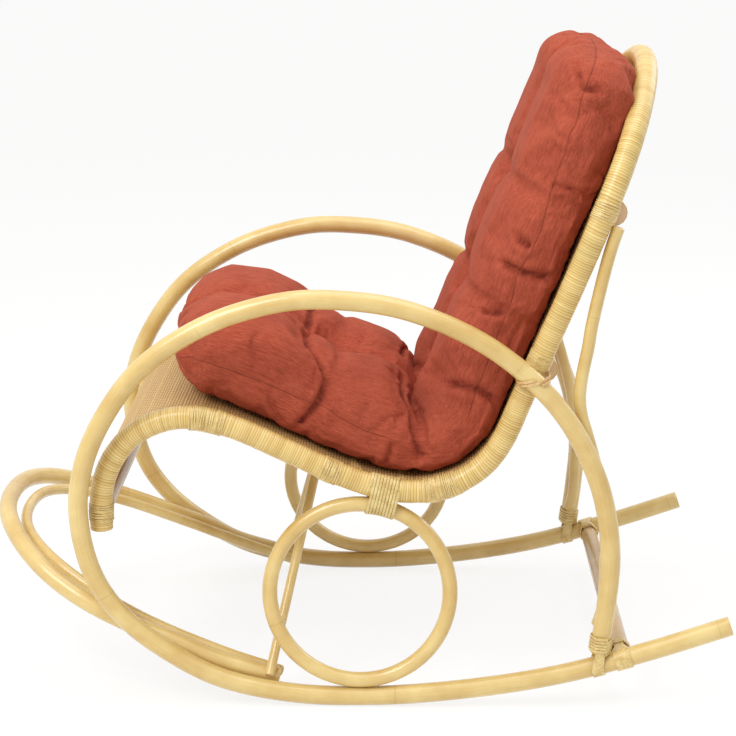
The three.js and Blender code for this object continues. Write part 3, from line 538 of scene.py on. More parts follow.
def woven_cane():
    """Close weave of split rattan core, unlacquered and matt.

    Its ribs run across the chair and their strands turn over and under, so each rib reads as a row
    of small knots, with painted brown shade: the colour darkens between the rows and where a strand
    dips under.
    """
    material, tree, surface = new_material("woven_core_cane")
    place = add_node(tree, "ShaderNodeAttribute", {"attribute_name": "chair_place"})
    parts = add_node(tree, "ShaderNodeSeparateXYZ", {}, {0: place.outputs["Vector"]})
    ribs = add_node(tree, "ShaderNodeMath", {"operation": "DIVIDE"}, {
        0: parts.outputs["Y"], 1: RIB_SPACING,
    })
    row = add_node(tree, "ShaderNodeMath", {"operation": "FLOOR"}, {0: ribs.outputs[0]})
    from_gap = add_node(tree, "ShaderNodeMath", {"operation": "PINGPONG"}, {
        0: ribs.outputs[0], 1: 0.5,
    })
    rib = add_node(tree, "ShaderNodeMapRange", {"interpolation_type": "SMOOTHSTEP"}, {
        "Value": from_gap.outputs[0], "From Min": 0, "From Max": 0.34, "To Min": 0, "To Max": 1,
    })
    knots = add_node(tree, "ShaderNodeMath", {"operation": "MULTIPLY_ADD"}, {
        0: parts.outputs["X"], 1: 1 / KNOT_SPACING, 2: row.outputs[0],
    })
    over = add_node(tree, "ShaderNodeMath", {"operation": "PINGPONG"}, {0: knots.outputs[0], 1: 1})
    lift = add_node(tree, "ShaderNodeMapRange", {"interpolation_type": "SMOOTHSTEP"}, {
        "Value": over.outputs[0], "From Min": 0.1, "From Max": 0.9, "To Min": 0.35, "To Max": 1,
    })
    height = add_node(tree, "ShaderNodeMath", {"operation": "MULTIPLY"}, {
        0: rib.outputs[0], 1: lift.outputs[0],
    })
    stretch = add_node(tree, "ShaderNodeMapping", {}, {
        "Vector": place.outputs["Vector"], "Scale": per_size(CANE_FIBRE),
    })
    fibre = add_node(tree, "ShaderNodeTexNoise", {}, {
        "Vector": stretch.outputs[0], "Scale": 1, "Detail": 3, "Roughness": 0.6,
    })
    cane = add_node(tree, "ShaderNodeMix", {"data_type": "RGBA"}, {
        0: fibre.outputs["Fac"], 6: linear("#F0CE8C"), 7: linear("#CDA25F"),
    })
    # Painted shade: the cane turns brown where the weave is low, between the rows and where a strand
    # dips under
    colour = add_node(tree, "ShaderNodeMix", {"data_type": "RGBA"}, {
        0: height.outputs[0], 6: linear("#A5804C"), 7: cane.outputs[2],
    })
    bump = add_node(tree, "ShaderNodeBump", {}, {
        "Height": height.outputs[0], "Strength": 0.8, "Distance": 0.9 * MM,
    })
    fill_inputs(tree, surface, {
        "Base Color": colour.outputs[2], "Normal": bump.outputs[0], "Roughness": 0.6,
    })
    return material


def chenille():
    """Terracotta chenille: short brushed pile in fine lengthwise slubs.

    It is matt, with a faint bloom at glancing angles. Along the side seam and the folds, where they
    draw
    it in, its colour is darkened: painted shade.
    """
    material, tree, surface = new_material("terracotta_chenille")
    place = add_node(tree, "ShaderNodeAttribute", {"attribute_name": "chair_place"})
    thread_place = add_node(tree, "ShaderNodeMapping", {}, {
        "Vector": place.outputs["Vector"], "Scale": per_size(PILE_THREAD),
    })
    threads = add_node(tree, "ShaderNodeTexNoise", {}, {
        "Vector": thread_place.outputs[0], "Scale": 1, "Detail": 3, "Roughness": 0.6,
    })
    slub_place = add_node(tree, "ShaderNodeMapping", {}, {
        "Vector": place.outputs["Vector"], "Scale": per_size(PILE_SLUB),
    })
    slubs = add_node(tree, "ShaderNodeTexNoise", {}, {
        "Vector": slub_place.outputs[0], "Scale": 1, "Detail": 2, "Roughness": 0.5,
    })
    spot = add_node(tree, "ShaderNodeTexCoord")
    brushed = add_node(tree, "ShaderNodeTexNoise", {}, {
        "Vector": spot.outputs["Object"], "Scale": 1 / PILE_BRUSHING, "Detail": 3, "Roughness": 0.6,
    })
    both = add_node(tree, "ShaderNodeMath", {"operation": "MULTIPLY_ADD"}, {
        0: slubs.outputs["Fac"], 1: 0.7, 2: threads.outputs["Fac"],
    })
    all_three = add_node(tree, "ShaderNodeMath", {"operation": "MULTIPLY_ADD"}, {
        0: brushed.outputs["Fac"], 1: 0.5, 2: both.outputs[0],
    })
    tone = add_node(tree, "ShaderNodeMapRange", {}, {
        "Value": all_three.outputs[0], "From Min": 0.78, "From Max": 1.42,
        "To Min": 0, "To Max": 1,
    })
    cloth = add_node(tree, "ShaderNodeMix", {"data_type": "RGBA"}, {
        0: tone.outputs[0], 6: linear("#8C3A28"), 7: linear("#B85840"),
    })
    seam = add_node(tree, "ShaderNodeAttribute", {"attribute_name": "seam_offset"})
    off_seam = add_node(tree, "ShaderNodeMath", {"operation": "ABSOLUTE"}, {0: seam.outputs["Fac"]})
    # Painted shade: a dark line along the side seam, where the cloth is drawn in
    line = add_node(tree, "ShaderNodeMapRange", {"interpolation_type": "SMOOTHSTEP"}, {
        "Value": off_seam.outputs[0], "From Min": SEAM_LINE[0], "From Max": SEAM_LINE[1],
        "To Min": 0.42, "To Max": 0,
    })
    fold = add_node(tree, "ShaderNodeAttribute", {"attribute_name": "fold_offset"})
    # Painted shade: the cloth darkens along the folds' creases
    crease = add_node(tree, "ShaderNodeMapRange", {"interpolation_type": "SMOOTHSTEP"}, {
        "Value": fold.outputs["Fac"], "From Min": CREASE_LINE[0], "From Max": CREASE_LINE[1],
        "To Min": 0.55, "To Max": 0,
    })
    seam_and_fold_painted_shade = add_node(tree, "ShaderNodeMath", {"operation": "MAXIMUM"}, {
        0: line.outputs[0], 1: crease.outputs[0],
    })
    # The cloth darkens towards deep brown by the painted seam and fold shade
    colour = add_node(tree, "ShaderNodeMix", {"data_type": "RGBA"}, {
        0: seam_and_fold_painted_shade.outputs[0], 6: cloth.outputs[2], 7: linear("#5E2116"),
    })
    sunk = add_node(tree, "ShaderNodeMath", {"operation": "MULTIPLY_ADD"}, {
        0: line.outputs[0], 1: -2.2, 2: both.outputs[0],
    })
    bump = add_node(tree, "ShaderNodeBump", {}, {
        "Height": sunk.outputs[0], "Strength": 0.6, "Distance": 0.8 * MM,
    })
    fill_inputs(tree, surface, {
        "Base Color": colour.outputs[2], "Normal": bump.outputs[0], "Roughness": 0.92,
        "Specular IOR Level": 0.25, "Sheen Weight": 0.12, "Sheen Roughness": 0.5,
        "Sheen Tint": linear("#E08A66"),
    })
    return material


pale_pole = lacquered_rattan("lacquered_rattan_pole", "#E6CC88", "#CFAB62", "#94703C")
# The bars take a darker, browner copy of the pole's rattan: painted shade, for the bars lie in shade
# under the seat and back
shade_darkened_bar_pole = lacquered_rattan("lacquered_rattan_bar", "#D3B37E", "#AE8A52", "#6E5232")
sawn_end = sawn_rattan()
wrap = wound_peel()
strip_peel = peel_strip("rattan_peel_strip", "#EBD592", "#C9A661")
lashing_peel = peel_strip("rattan_peel_lashing", "#E9C88A", "#C48F52")
weave = woven_cane()
pile = chenille()


def merged(node):
    """The node's mesh with its loose triangles joined."""
    mesh = bmesh.new()
    mesh.from_mesh(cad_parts[node].data)
    bmesh.ops.remove_doubles(mesh, verts=mesh.verts, dist=MERGE_DISTANCE)
    return mesh


def joined_copy(node, name, finish):
    """A new piece with the node's joined mesh."""
    mesh = merged(node)
    data = bpy.data.meshes.new(name)
    mesh.to_mesh(data)
    mesh.free()
    piece = bpy.data.objects.new(name, data)
    scene.collection.objects.link(piece)
    data.materials.clear()
    data.materials.append(finish)
    choose(piece)
    return piece


def corners(places):
    """The lowest and highest corner of the box round some places."""
    places = list(places)
    low = Vector([min(place[axis] for place in places) for axis in range(3)])
    high = Vector([max(place[axis] for place in places) for axis in range(3)])
    return low, high


def sharp_edges(mesh):
    """The edges round a pole's sawn ends."""
    return [edge for edge in mesh.edges if edge.calc_face_angle(0) > RIM_ANGLE]


def centreline(node):
    """The middles of a pole's rings of points, from one end to the other."""
    mesh = merged(node)
    rims = sharp_edges(mesh)
    rim = {rims[0].verts[0]}
    grown = True
    while grown:
        grown = False
        for edge in rims:
            if (edge.verts[0] in rim) != (edge.verts[1] in rim):
                rim.update(edge.verts)
                grown = True
    seen = set(rim)
    points = []
    while rim:
        low, high = corners(vert.co for vert in rim)
        points.append((low + high) / 2)
        rim = {edge.other_vert(vert) for vert in rim for edge in vert.link_edges} - seen
        seen |= rim
    mesh.free()
    return points


def pole_radius(node):
    """The radius of a pole, from the points round the rim at its start."""
    mesh = merged(node)
    rims = sharp_edges(mesh)
    start = rims[0].verts[0].co
    near = [
        vert.co for edge in rims for vert in edge.verts if (vert.co - start).length < RIM_REACH
    ]
    radius = max((one - other).length for one in near for other in near) / 2
    mesh.free()
    return radius


def path_length(points):
    """The length of a line through the points."""
    return sum((after - before).length for before, after in zip(points, points[1:]))


def straight_points(start, end):
    """Evenly spaced points from one place to another."""
    return [start.lerp(end, step / STRAIGHT_STEPS) for step in range(STRAIGHT_STEPS + 1)]


def smooth_pole(
    name, points, radius, finish, closed=False, steps=CURVE_STEPS, end_edge=SAWN_EDGE,
):
    """A round pole along the points. Its UV map is in metres, X round the pole and Y along it."""
    deselect()
    bpy.ops.curve.primitive_bezier_curve_add()
    piece = bpy.context.object
    piece.name = name
    curve = piece.data
    curve.splines.clear()
    spline = curve.splines.new("BEZIER")
    spline.bezier_points.add(len(points) - 1)
    for knot, point in zip(spline.bezier_points, points):
        knot.co = point
        knot.handle_left_type = "AUTO"
        knot.handle_right_type = "AUTO"
    spline.use_cyclic_u = closed
    curve.resolution_u = steps
    curve.bevel_depth = radius
    curve.bevel_resolution = ROUND_STEPS
    curve.use_fill_caps = False
    choose(piece)
    bpy.ops.object.convert(target="MESH")
    mesh = piece.data
    length = path_length(points)
    for corner in mesh.uv_layers[0].data:
        corner.uv = (corner.uv[1] * FULL_TURN * radius, corner.uv[0] * length)
    bpy.ops.object.mode_set(mode="EDIT")
    bpy.ops.mesh.select_all(action="SELECT")
    bpy.ops.mesh.remove_doubles(threshold=POLE_SEAM)
    if not closed:
        bpy.ops.mesh.fill_holes(sides=0)
    bpy.ops.mesh.select_all(action="SELECT")
    bpy.ops.mesh.normals_make_consistent(inside=False)
    bpy.ops.object.mode_set(mode="OBJECT")
    if not closed:
        round_ends(piece, end_edge)
    mesh.materials.clear()
    mesh.materials.append(finish)
    mesh.materials.append(sawn_end)
    for face in mesh.polygons:
        face.material_index = 1 if len(face.vertices) > 4 else 0
    choose(piece)
    bpy.ops.object.shade_smooth_by_angle(angle=POLE_SMOOTHING)
    return piece


def round_ends(piece, edge_width):
    """Breaks the sawn edges at both ends."""
    mesh = bmesh.new()
    mesh.from_mesh(piece.data)
    bmesh.ops.bevel(
        mesh, geom=sharp_edges(mesh), offset=edge_width, segments=END_STEPS, profile=0.5,
        affect="EDGES", clamp_overlap=True,
    )
    mesh.to_mesh(piece.data)
    mesh.free()


def trim_floor(piece):
    """Keeps the flat on which a runner rests."""
    choose(piece)
    bpy.ops.object.mode_set(mode="EDIT")
    bpy.ops.mesh.select_all(action="SELECT")
    bpy.ops.mesh.bisect(plane_co=(0, 0, 0), plane_no=(0, 0, 1), use_fill=True, clear_inner=True)
    bpy.ops.object.mode_set(mode="OBJECT")
    for face in piece.data.polygons:
        if face.normal.z < FACES_DOWN and face.center.z < FLOOR_REACH:
            face.material_index = 0


def stands_for(piece, node, body="chair"):
    """Puts a piece in the place of its solid."""
    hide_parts(node)
    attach(piece, body)


def bent_poles():
    """The hoops that are both runner and armrest, the struts behind the back and the front bows."""
    for side in SIDES:
        for name in ("hoop_runner", "rear_strut"):
            node = f"{name}_{side}"
            piece = smooth_pole(f"{node}_pole", centreline(node), pole_radius(node), pale_pole)
            if name == "hoop_runner":
                trim_floor(piece)
            stands_for(piece, node)
    for node in ("front_bow_outer", "front_bow_inner"):
        piece = smooth_pole(
            f"{node}_pole", centreline(node), pole_radius(node), pale_pole, end_edge=WORN_END,
        )
        stands_for(piece, node)


def straight_bars():
    """The bars from side to side."""
    for node in (*RAIL_BARS, "rear_stretcher"):
        low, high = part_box(node)
        middle = (low + high) / 2
        radius = (high.z - low.z) / 2
        points = straight_points(
            Vector((low.x, middle.y, middle.z)), Vector((high.x, middle.y, middle.z)),
        )
        # The bars' darker rattan is painted shade
        piece = smooth_pole(f"{node}_pole", points, radius, shade_darkened_bar_pole)
        stands_for(piece, node)


def front_struts():
    """The straight struts, on the line between the middles of their cut ends."""
    for side in SIDES:
        node = f"front_strut_{side}"
        mesh = merged(node)
        middle_height = sum(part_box(node), Vector()).z / 2
        ends = []
        for upper in (False, True):
            rim = {
                vert for edge in mesh.edges if edge.calc_face_angle(0) > STRUT_RIM_ANGLE
                for vert in edge.verts if (vert.co.z > middle_height) == upper
            }
            low, high = corners(vert.co for vert in rim)
            ends.append((low + high) / 2)
        mesh.free()
        line = (ends[1] - ends[0]).normalized()
        sides = [
            face.center - ends[0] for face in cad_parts[node].data.polygons
            if abs(face.normal.dot(line)) < STRUT_SIDE_SLANT
        ]
        radius = sum((side - line * side.dot(line)).length for side in sides) / len(sides)
        points = straight_points(*ends)
        piece = smooth_pole(f"{node}_pole", points, radius * STRUT_FULLNESS, pale_pole)
        stands_for(piece, node)


def rings():
    """The full circles, leaning in from the runner to the seat rail."""
    for side in SIDES:
        node = f"ring_{side}"
        low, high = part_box(node)
        middle = (low + high) / 2
        half_pole = RING_POLE / 2
        radius = (high.y - low.y) / 2 - half_pole
        lean = math.copysign(math.asin(((high.x - low.x) / 2 - half_pole) / radius), middle.x)
        points = []
        for step in range(RING_POINTS):
            angle = FULL_TURN * step / RING_POINTS
            up = radius * math.sin(angle)
            points.append(middle + Vector((
                -up * math.sin(lean), radius * math.cos(angle), up * math.cos(lean),
            )))
        piece = smooth_pole(f"{node}_pole", points, half_pole, pale_pole, closed=True)
        stands_for(piece, node)


def bindings():
    """The ties, lashings, slings and collars: their solids with softer edges."""
    for side in SIDES:
        for name in BINDINGS:
            node = f"{name}_{side}"
            finish = lashing_peel if name == "arm_lashing" else strip_peel
            piece = joined_copy(node, f"{node}_peel", finish)
            bevel = piece.modifiers.new("edges", "BEVEL")
            bevel.width = STRIP_EDGE
            bevel.segments = STRIP_EDGE_STEPS
            bevel.angle_limit = STRIP_EDGE_ANGLE
            bpy.ops.object.modifier_apply(modifier=bevel.name)
            bpy.ops.object.shade_smooth_by_angle(angle=STRIP_SMOOTHING)
            stands_for(piece, node)


rail_points = centreline("shell_frame_pole")
rail_length = path_length(rail_points)


def rail_at(station):
    """The rail's middle and its direction at a distance from its first end."""
    passed = 0
    for before, after in zip(rail_points, rail_points[1:]):
        step = (after - before).length
        if passed + step >= station:
            return before.lerp(after, (station - passed) / step), (after - before) / step
        passed += step
    return rail_points[-1], (rail_points[-1] - rail_points[-2]).normalized()


def bar_stations():
    """Where each bar meets the rail on both sides: how far along it, and the way to the bar."""
    found = []
    for node in RAIL_BARS:
        low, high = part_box(node)
        middle = (low + high) / 2
        ways = [(middle - point) * SEEN_FROM_SIDE for point in rail_points]
        nearest = min(way.length for way in ways)
        passed = 0
        for before, after, way in zip(rail_points, rail_points[1:], ways):
            if way.length <= nearest + MEETING_ROOM:
                found.append((passed, way.normalized()))
            passed += (after - before).length
    return found


def peel_wander(station):
    """How far the turns drift along the rail."""
    return sum(reach * math.sin(station / length + start) for reach, length, start in PEEL_DRIFTS)


def wrapped_rail():
    """The seat rail with its peel as real turns.

    They are domed strips with a groove between them, uneven by hand, with a swelling where the peel
    also goes round the end of a bar. Returns where the bars are.
    """
    piece = smooth_pole(
        "wrapped_rail", rail_points, RAIL_RADIUS, wrap, steps=PEEL_STEPS, end_edge=RAIL_END,
    )
    mesh = piece.data
    round_way = FULL_TURN * RAIL_RADIUS
    stations = {}
    for face in mesh.polygons:
        for number in face.loop_indices:
            corner = mesh.uv_layers[0].data[number]
            along = corner.uv[1]
            stations[mesh.loops[number].vertex_index] = (along, corner.uv[0] / round_way)
            corner.uv[1] = along + peel_wander(along)
        face.material_index = 0
    chance = random.Random(PEEL_SEED)
    turns = int(rail_length / PEEL_PITCH) + PEEL_SPARE_TURNS
    strips = [chance.uniform(-PEEL_UNEVENNESS, PEEL_UNEVENNESS) for _ in range(turns)]
    bars = bar_stations()
    normals = [vertex.normal.copy() for vertex in mesh.vertices]
    for number, vertex in enumerate(mesh.vertices):
        along, round_share = stations[number]
        if not PEEL_BARE_END <= along <= rail_length - PEEL_BARE_END:
            continue
        phase = (along + peel_wander(along)) / PEEL_PITCH + round_share
        turn = math.floor(phase)
        off_middle = abs(2 * (phase - turn) - 1)
        lift = PEEL_CROWN * (1 - off_middle ** 3 - PEEL_SET_IN) + strips[turn % len(strips)]
        for station, way in bars:
            nearness = math.exp(-((along - station) / BULGE_REACH) ** 2)
            if nearness > BULGE_LEAST:
                facing = max(0, normals[number].dot(way))
                lift += BULGE_HEIGHT * nearness * facing ** BULGE_ROUNDNESS
        vertex.co += normals[number] * lift
    stands_for(piece, "shell_frame_pole")
    return bars


def bar_stitches(bars):
    """Strands of core cane that bind each bar's end to the rail, side by side over the peel."""
    chance = random.Random(STITCH_SEED)
    strands = []
    for station, way in bars:
        for count in range(-STITCHES_EACH_WAY, STITCHES_EACH_WAY + 1):
            stray = chance.uniform(-STITCH_STRAY, STITCH_STRAY)
            spot = station + count * STITCH_SPACING + stray
            if not STITCH_END_ROOM <= spot <= rail_length - STITCH_END_ROOM:
                continue
            middle, direction = rail_at(spot)
            lean, twist = (chance.uniform(-STITCH_TILT, STITCH_TILT) for _ in range(2))
            tilt = Vector((lean, twist, 0))
            turn = (direction + tilt).to_track_quat("Z", "Y")
            deselect()
            bpy.ops.mesh.primitive_torus_add(
                location=middle + way * STITCH_TO_BAR, rotation=turn.to_euler(),
                major_radius=RAIL_RADIUS + STITCH_LIFT, minor_radius=STITCH_RADIUS,
                major_segments=STITCH_TURN_STEPS, minor_segments=STITCH_ROUND_STEPS,
            )
            strand = bpy.context.object
            strand.data.transform(Matrix.Translation(strand.location) @ turn.to_matrix().to_4x4())
            strand.matrix_world = Matrix.Identity(4)
            strands.append(strand)
    deselect()
    for strand in strands:
        strand.select_set(True)
    piece = strands[0]
    bpy.context.view_layer.objects.active = piece
    bpy.ops.object.join()
    piece.name = "bar_end_stitches"
    piece.data.materials.clear()
    piece.data.materials.append(strip_peel)
    bpy.ops.object.shade_smooth_by_angle(angle=STITCH_SMOOTHING)
    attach(piece, "chair")


class SideProfile:
    """The rail seen from the side. It gives a point's place across, along and above the rail."""

    def __init__(self):
        half = rail_points[: (len(rail_points) + 1) // 2]
        self.points = [Vector((0, point.y, point.z)) for point in half]
        if self.points[0].y > self.points[-1].y:
            self.points.reverse()
        self.starts = [0]
        for before, after in zip(self.points, self.points[1:]):
            self.starts.append(self.starts[-1] + (after - before).length)

    def place(self, point):
        y, z = point.y, point.z
        nearest = min(
            range(len(self.points)),
            key=lambda number: (self.points[number].y - y) ** 2 + (self.points[number].z - z) ** 2,
        )
        best = None
        for number in range(max(nearest - 1, 0), min(nearest + 1, len(self.points) - 1)):
            start, end = self.points[number], self.points[number + 1]
            run_y, run_z = end.y - start.y, end.z - start.z
            length = math.hypot(run_y, run_z)
            share = ((y - start.y) * run_y + (z - start.z) * run_z) / length ** 2
            share = min(max(share, 0), 1)
            distance = math.hypot(y - start.y - run_y * share, z - start.z - run_z * share)
            if best is None or distance < best[0]:
                above = (z - start.z) * run_y - (y - start.y) * run_z
                best = (distance, self.starts[number] + share * length, above)
        distance, along, above = best
        return Vector((point.x, along, math.copysign(distance, above)))


profile = SideProfile()


def store_places(piece, places):
    """Gives each point its place across, along and above the rail, which patterns follow."""
    layer = piece.data.attributes.new("chair_place", "FLOAT_VECTOR", "POINT")
    for number, place in enumerate(places):
        layer.data[number].vector = place


def store_offsets(piece, name, offsets):
    """Gives each point its distance from a line that the cloth's material draws."""
    layer = piece.data.attributes.new(name, "FLOAT", "POINT")
    for number, offset in enumerate(offsets):
        layer.data[number].value = offset


def woven_panel():
    """The woven seat and back, with a raised rib for each row of the weave."""
    piece = joined_copy("woven_panel", "woven_seat", weave)
    mesh = bmesh.new()
    mesh.from_mesh(piece.data)
    bmesh.ops.join_triangles(
        mesh, faces=mesh.faces,
        angle_face_threshold=SHEET_FLAT_ANGLE, angle_shape_threshold=math.pi,
    )
    mesh.to_mesh(piece.data)
    mesh.free()
    scene.tool_settings.mesh_select_mode = (False, True, False)
    bpy.ops.object.mode_set(mode="EDIT")
    bpy.ops.mesh.select_all(action="DESELECT")
    bpy.ops.object.mode_set(mode="OBJECT")
    data = piece.data
    for edge in data.edges:
        run = data.vertices[edge.vertices[1]].co - data.vertices[edge.vertices[0]].co
        edge.select = run.length > SHEET_LONG_EDGE and abs(run.x) < run.length * SHEET_EDGE_SLANT
    bpy.ops.object.mode_set(mode="EDIT")
    bpy.ops.mesh.subdivide(number_cuts=SHEET_CUTS)
    bpy.ops.object.mode_set(mode="OBJECT")
    scene.tool_settings.mesh_select_mode = (True, False, False)
    data = piece.data
    places = [profile.place(vertex.co) for vertex in data.vertices]
    normals = [vertex.normal.copy() for vertex in data.vertices]
    for vertex, normal, place in zip(data.vertices, normals, places):
        if abs(place.x) < SHEET_HALF_WIDTH and place.z > SHEET_UPPER_SIDE:
            share = place.y / RIB_SPACING % 1
            vertex.co += normal * (RIB_CROWN * (math.sin(math.pi * share) ** RIB_ROUNDNESS - 0.5))
    bpy.ops.object.shade_smooth_by_angle(angle=SHEET_SMOOTHING)
    store_places(piece, places)
    stands_for(piece, "woven_panel")


def table_value(table, where):
    """A straight-line value from a table of pairs."""
    if where <= table[0][0]:
        return table[0][1]
    for (left, low), (right, high) in zip(table, table[1:]):
        if where <= right:
            return low + (high - low) * (where - left) / (right - left)
    return table[-1][1]


def smooth_share(value, limits):
    """0 below the lower limit and 1 above the upper one, with a smooth rise between them."""
    low, high = limits
    share = min(max((value - low) / (high - low), 0), 1)
    return share * share * (3 - 2 * share)


def bell(distance, width):
    """1 at a line or point, fading to 0 over the width."""
    return math.exp(-(distance / width) ** 2)


def fold_points(surface):
    """Points along the folds of both sides, laid on the pad's surface."""
    points = []
    for mirror, slide in ((1, 0), (-1, 1)):
        for number, (depth, width, run) in enumerate(PAD_FOLDS_MM):
            shift = FOLD_SHIFT_MM * slide * math.sin(number * FOLD_SHIFT_STEP)
            turns = []
            for x, y, z in run:
                shifted = 1 if abs(x) > FOLD_SHIFT_FROM_MM else 0
                turns.append((Vector((x * mirror, y, z)) + shift * shifted) * MM)
            for before, after in zip(turns, turns[1:]):
                steps = max(1, round((after - before).length / FOLD_POINT_SPACING))
                for step in range(steps + 1):
                    spot = surface.find_nearest(before.lerp(after, step / steps))[0]
                    points.append((spot, depth * MM, width * MM))
    return points


def fold_finder(folds):
    """A tree that finds the nearest of the points along the folds."""
    finder = KDTree(len(folds))
    for number, (spot, _, _) in enumerate(folds):
        finder.insert(spot, number)
    finder.balance()
    return finder


def end_fill(along, above):
    """How much of the inset a point starts with, which turns to a swelling at the top end."""
    return smooth_share(above, SIDE_MM) * (1 - TOP_FILL * smooth_share(along, TOP_FILL_MM))


def underside_hold(across, along, above):
    """How firmly the underside lies on the weave."""
    if abs(across) >= UNDERSIDE_HALF_WIDTH_MM:
        return 0
    held = 1 - smooth_share(above, UNDERSIDE_MM)
    held *= 1 - smooth_share(along, TOP_END_MM)
    return held * smooth_share(along, FRONT_END_MM)


def shaped_start(piece):
    """Draws the pad in at its tufts and folds, before the simulation.

    Returns for each point its place, how firmly it is held, and its distance from seam and fold.
    """
    mesh = piece.data
    start = [vertex.co.copy() for vertex in mesh.vertices]
    normals = [vertex.normal.copy() for vertex in mesh.vertices]
    places = [profile.place(co) for co in start]
    surface = BVHTree.FromPolygons(start, [list(face.vertices) for face in mesh.polygons])
    folds = fold_points(surface)
    finder = fold_finder(folds)
    lobe, reach, radius = PAD_OVERHANG_MM
    hold = []
    seam = []
    crease = []
    for number, vertex in enumerate(mesh.vertices):
        across, along, above = places[number] / MM
        normal = normals[number]
        move = -normal * PAD_START_INSET * end_fill(along, above)
        held = underside_hold(across, along, above)
        top = smooth_share(above, CROWN_MM)
        for station, depth, width in PAD_TUFTS_MM:
            away = math.hypot(across * TUFT_ACROSS, along - station)
            if away < width * TUFT_REACH:
                nip = bell(away, width * TUFT_NIP_WIDTH)
                draw = depth * TUFT_DRAW * bell(away, width) + depth * TUFT_NIP * nip
                move -= normal * draw * MM * top
                held = max(held, nip * top)
        valley = bell(across, VALLEY_WIDTH_MM) * top
        move -= normal * VALLEY_DEPTH_MM * MM * valley
        held = max(held, VALLEY_HOLD * valley)
        _, which, distance = finder.find(start[number])
        depth, width = folds[which][1:]
        if along > BACK_FOLDS_START_MM:
            distance += smooth_share(above, FACE_MM) * width * FOLD_REACH
        if distance < width * FOLD_REACH:
            move -= normal * depth * bell(distance, width)
            held = max(held, FOLD_HOLD * bell(distance, FOLD_HOLD_WIDTH * width))
        crease.append(distance if depth > DEEP_FOLD else distance + SHALLOW_FOLD_SOFTENING)
        for side in (1, -1):
            middle = Vector((lobe[0] * side, lobe[1], lobe[2])) * MM
            away = (start[number] - middle).length / (radius * MM)
            if away < OVERHANG_LIMIT and along > BACK_START_MM:
                move += OVERHANG_WAY * reach * MM * math.exp(-(away ** 2) * OVERHANG_FADE)
        vertex.co = start[number] + move
        hold.append(held)
        hidden = smooth_share(along, SEAM_HIDES_MM) * (1 - smooth_share(along, SEAM_SHOWS_MM))
        off_seam = above - table_value(PAD_SEAM_MM, along)
        seam.append(off_seam * (1 + SEAM_HIDING * hidden) * MM)
    return places, hold, seam, crease


def obstacles():
    """The poles that the pad lies against, and the upper side alone of the woven sheet.

    The sheet is thinner than the pad's swelling, so a point that went through it lies nearer to its
    underside, and only the upper side tells which way is back.
    """
    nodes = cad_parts
    pad_side = bmesh.new()
    pad_side.from_mesh(nodes["tufted_pad"].data)
    pad_tree = BVHTree.FromBMesh(pad_side)
    pad_side.free()
    sheet = bmesh.new()
    sheet.from_mesh(nodes["woven_panel"].data)
    turned_away = []
    for face in sheet.faces:
        middle = face.calc_center_median() + face.normal * SHEET_LOOK_START_MM * MM
        if pad_tree.ray_cast(middle, face.normal, SHEET_LOOK_REACH)[0] is None:
            turned_away.append(face)
    bmesh.ops.delete(sheet, geom=turned_away, context="FACES")
    upper_side = bpy.data.meshes.new("sheet_upper_side")
    sheet.to_mesh(upper_side)
    sheet.free()
    whole = bmesh.new()
    for node in ("shell_frame_pole", "hoop_runner_left", "hoop_runner_right"):
        whole.from_mesh(nodes[node].data)
    whole.from_mesh(upper_side)
    tree = BVHTree.FromBMesh(whole)
    whole.free()
    bpy.data.meshes.remove(upper_side)
    return tree


def swell(piece, places, hold, seam):
    """Blows the cover up as cloth under pressure, held at its tufts, folds and underside."""
    start = [vertex.co.copy() for vertex in piece.data.vertices]
    held = piece.vertex_groups.new(name="held")
    drawn = piece.vertex_groups.new(name="drawn")
    for number, weight in enumerate(hold):
        held.add([number], weight, "REPLACE")
        tight = bell(seam[number], PAD_SEAM_WIDTH) if places[number].z > PAD_LINE_FLOOR else 0
        drawn.add([number], tight, "REPLACE")
    cloth = piece.modifiers.new("stuffing", "CLOTH")
    settings = cloth.settings
    settings.quality = PAD_QUALITY
    settings.use_pressure = True
    settings.uniform_pressure_force = PAD_PRESSURE
    settings.bending_stiffness = PAD_STIFFNESS
    settings.shrink_min = -PAD_SPARE_CLOTH
    settings.shrink_max = PAD_SEAM_GATHER
    settings.vertex_group_shrink = drawn.name
    settings.vertex_group_mass = held.name
    settings.effector_weights.gravity = 0
    cloth.collision_settings.use_collision = False
    cloth.point_cache.frame_start = 1
    cloth.point_cache.frame_end = PAD_FRAMES
    for step in range(1, PAD_FRAMES + 1):
        scene.frame_set(step)
    choose(piece)
    bpy.ops.object.modifier_apply(modifier=cloth.name)
    scene.frame_set(1)
    piece.vertex_groups.clear()
    for number, vertex in enumerate(piece.data.vertices):
        move = vertex.co - start[number]
        if move.length > PAD_SWELL:
            vertex.co = start[number] + move * (PAD_SWELL / move.length)


def sharpen_folds(piece):
    """Presses a narrow crease, with a lip on both sides, into the folds that the cloth rounded."""
    mesh = piece.data
    normals = [vertex.normal.copy() for vertex in mesh.vertices]
    creases = mesh.attributes["fold_offset"].data
    for vertex, normal, crease in zip(mesh.vertices, normals, creases):
        sharp = bell(crease.value, FOLD_WIDTH)
        lip = bell(crease.value - FOLD_LIP_AWAY, FOLD_LIP_WIDTH)
        vertex.co += normal * (FOLD_LIP * lip - FOLD_DEPTH * sharp)


def keep_clear(piece):
    """Moves the points that went into a pole or the woven sheet back out in front of it."""
    solids = obstacles()
    for vertex in piece.data.vertices:
        spot, normal, _, distance = solids.find_nearest(vertex.co)
        if (vertex.co - spot).dot(normal) < PAD_CLEARANCE and distance < PAD_CONTACT_REACH:
            vertex.co = spot + normal * PAD_CLEARANCE


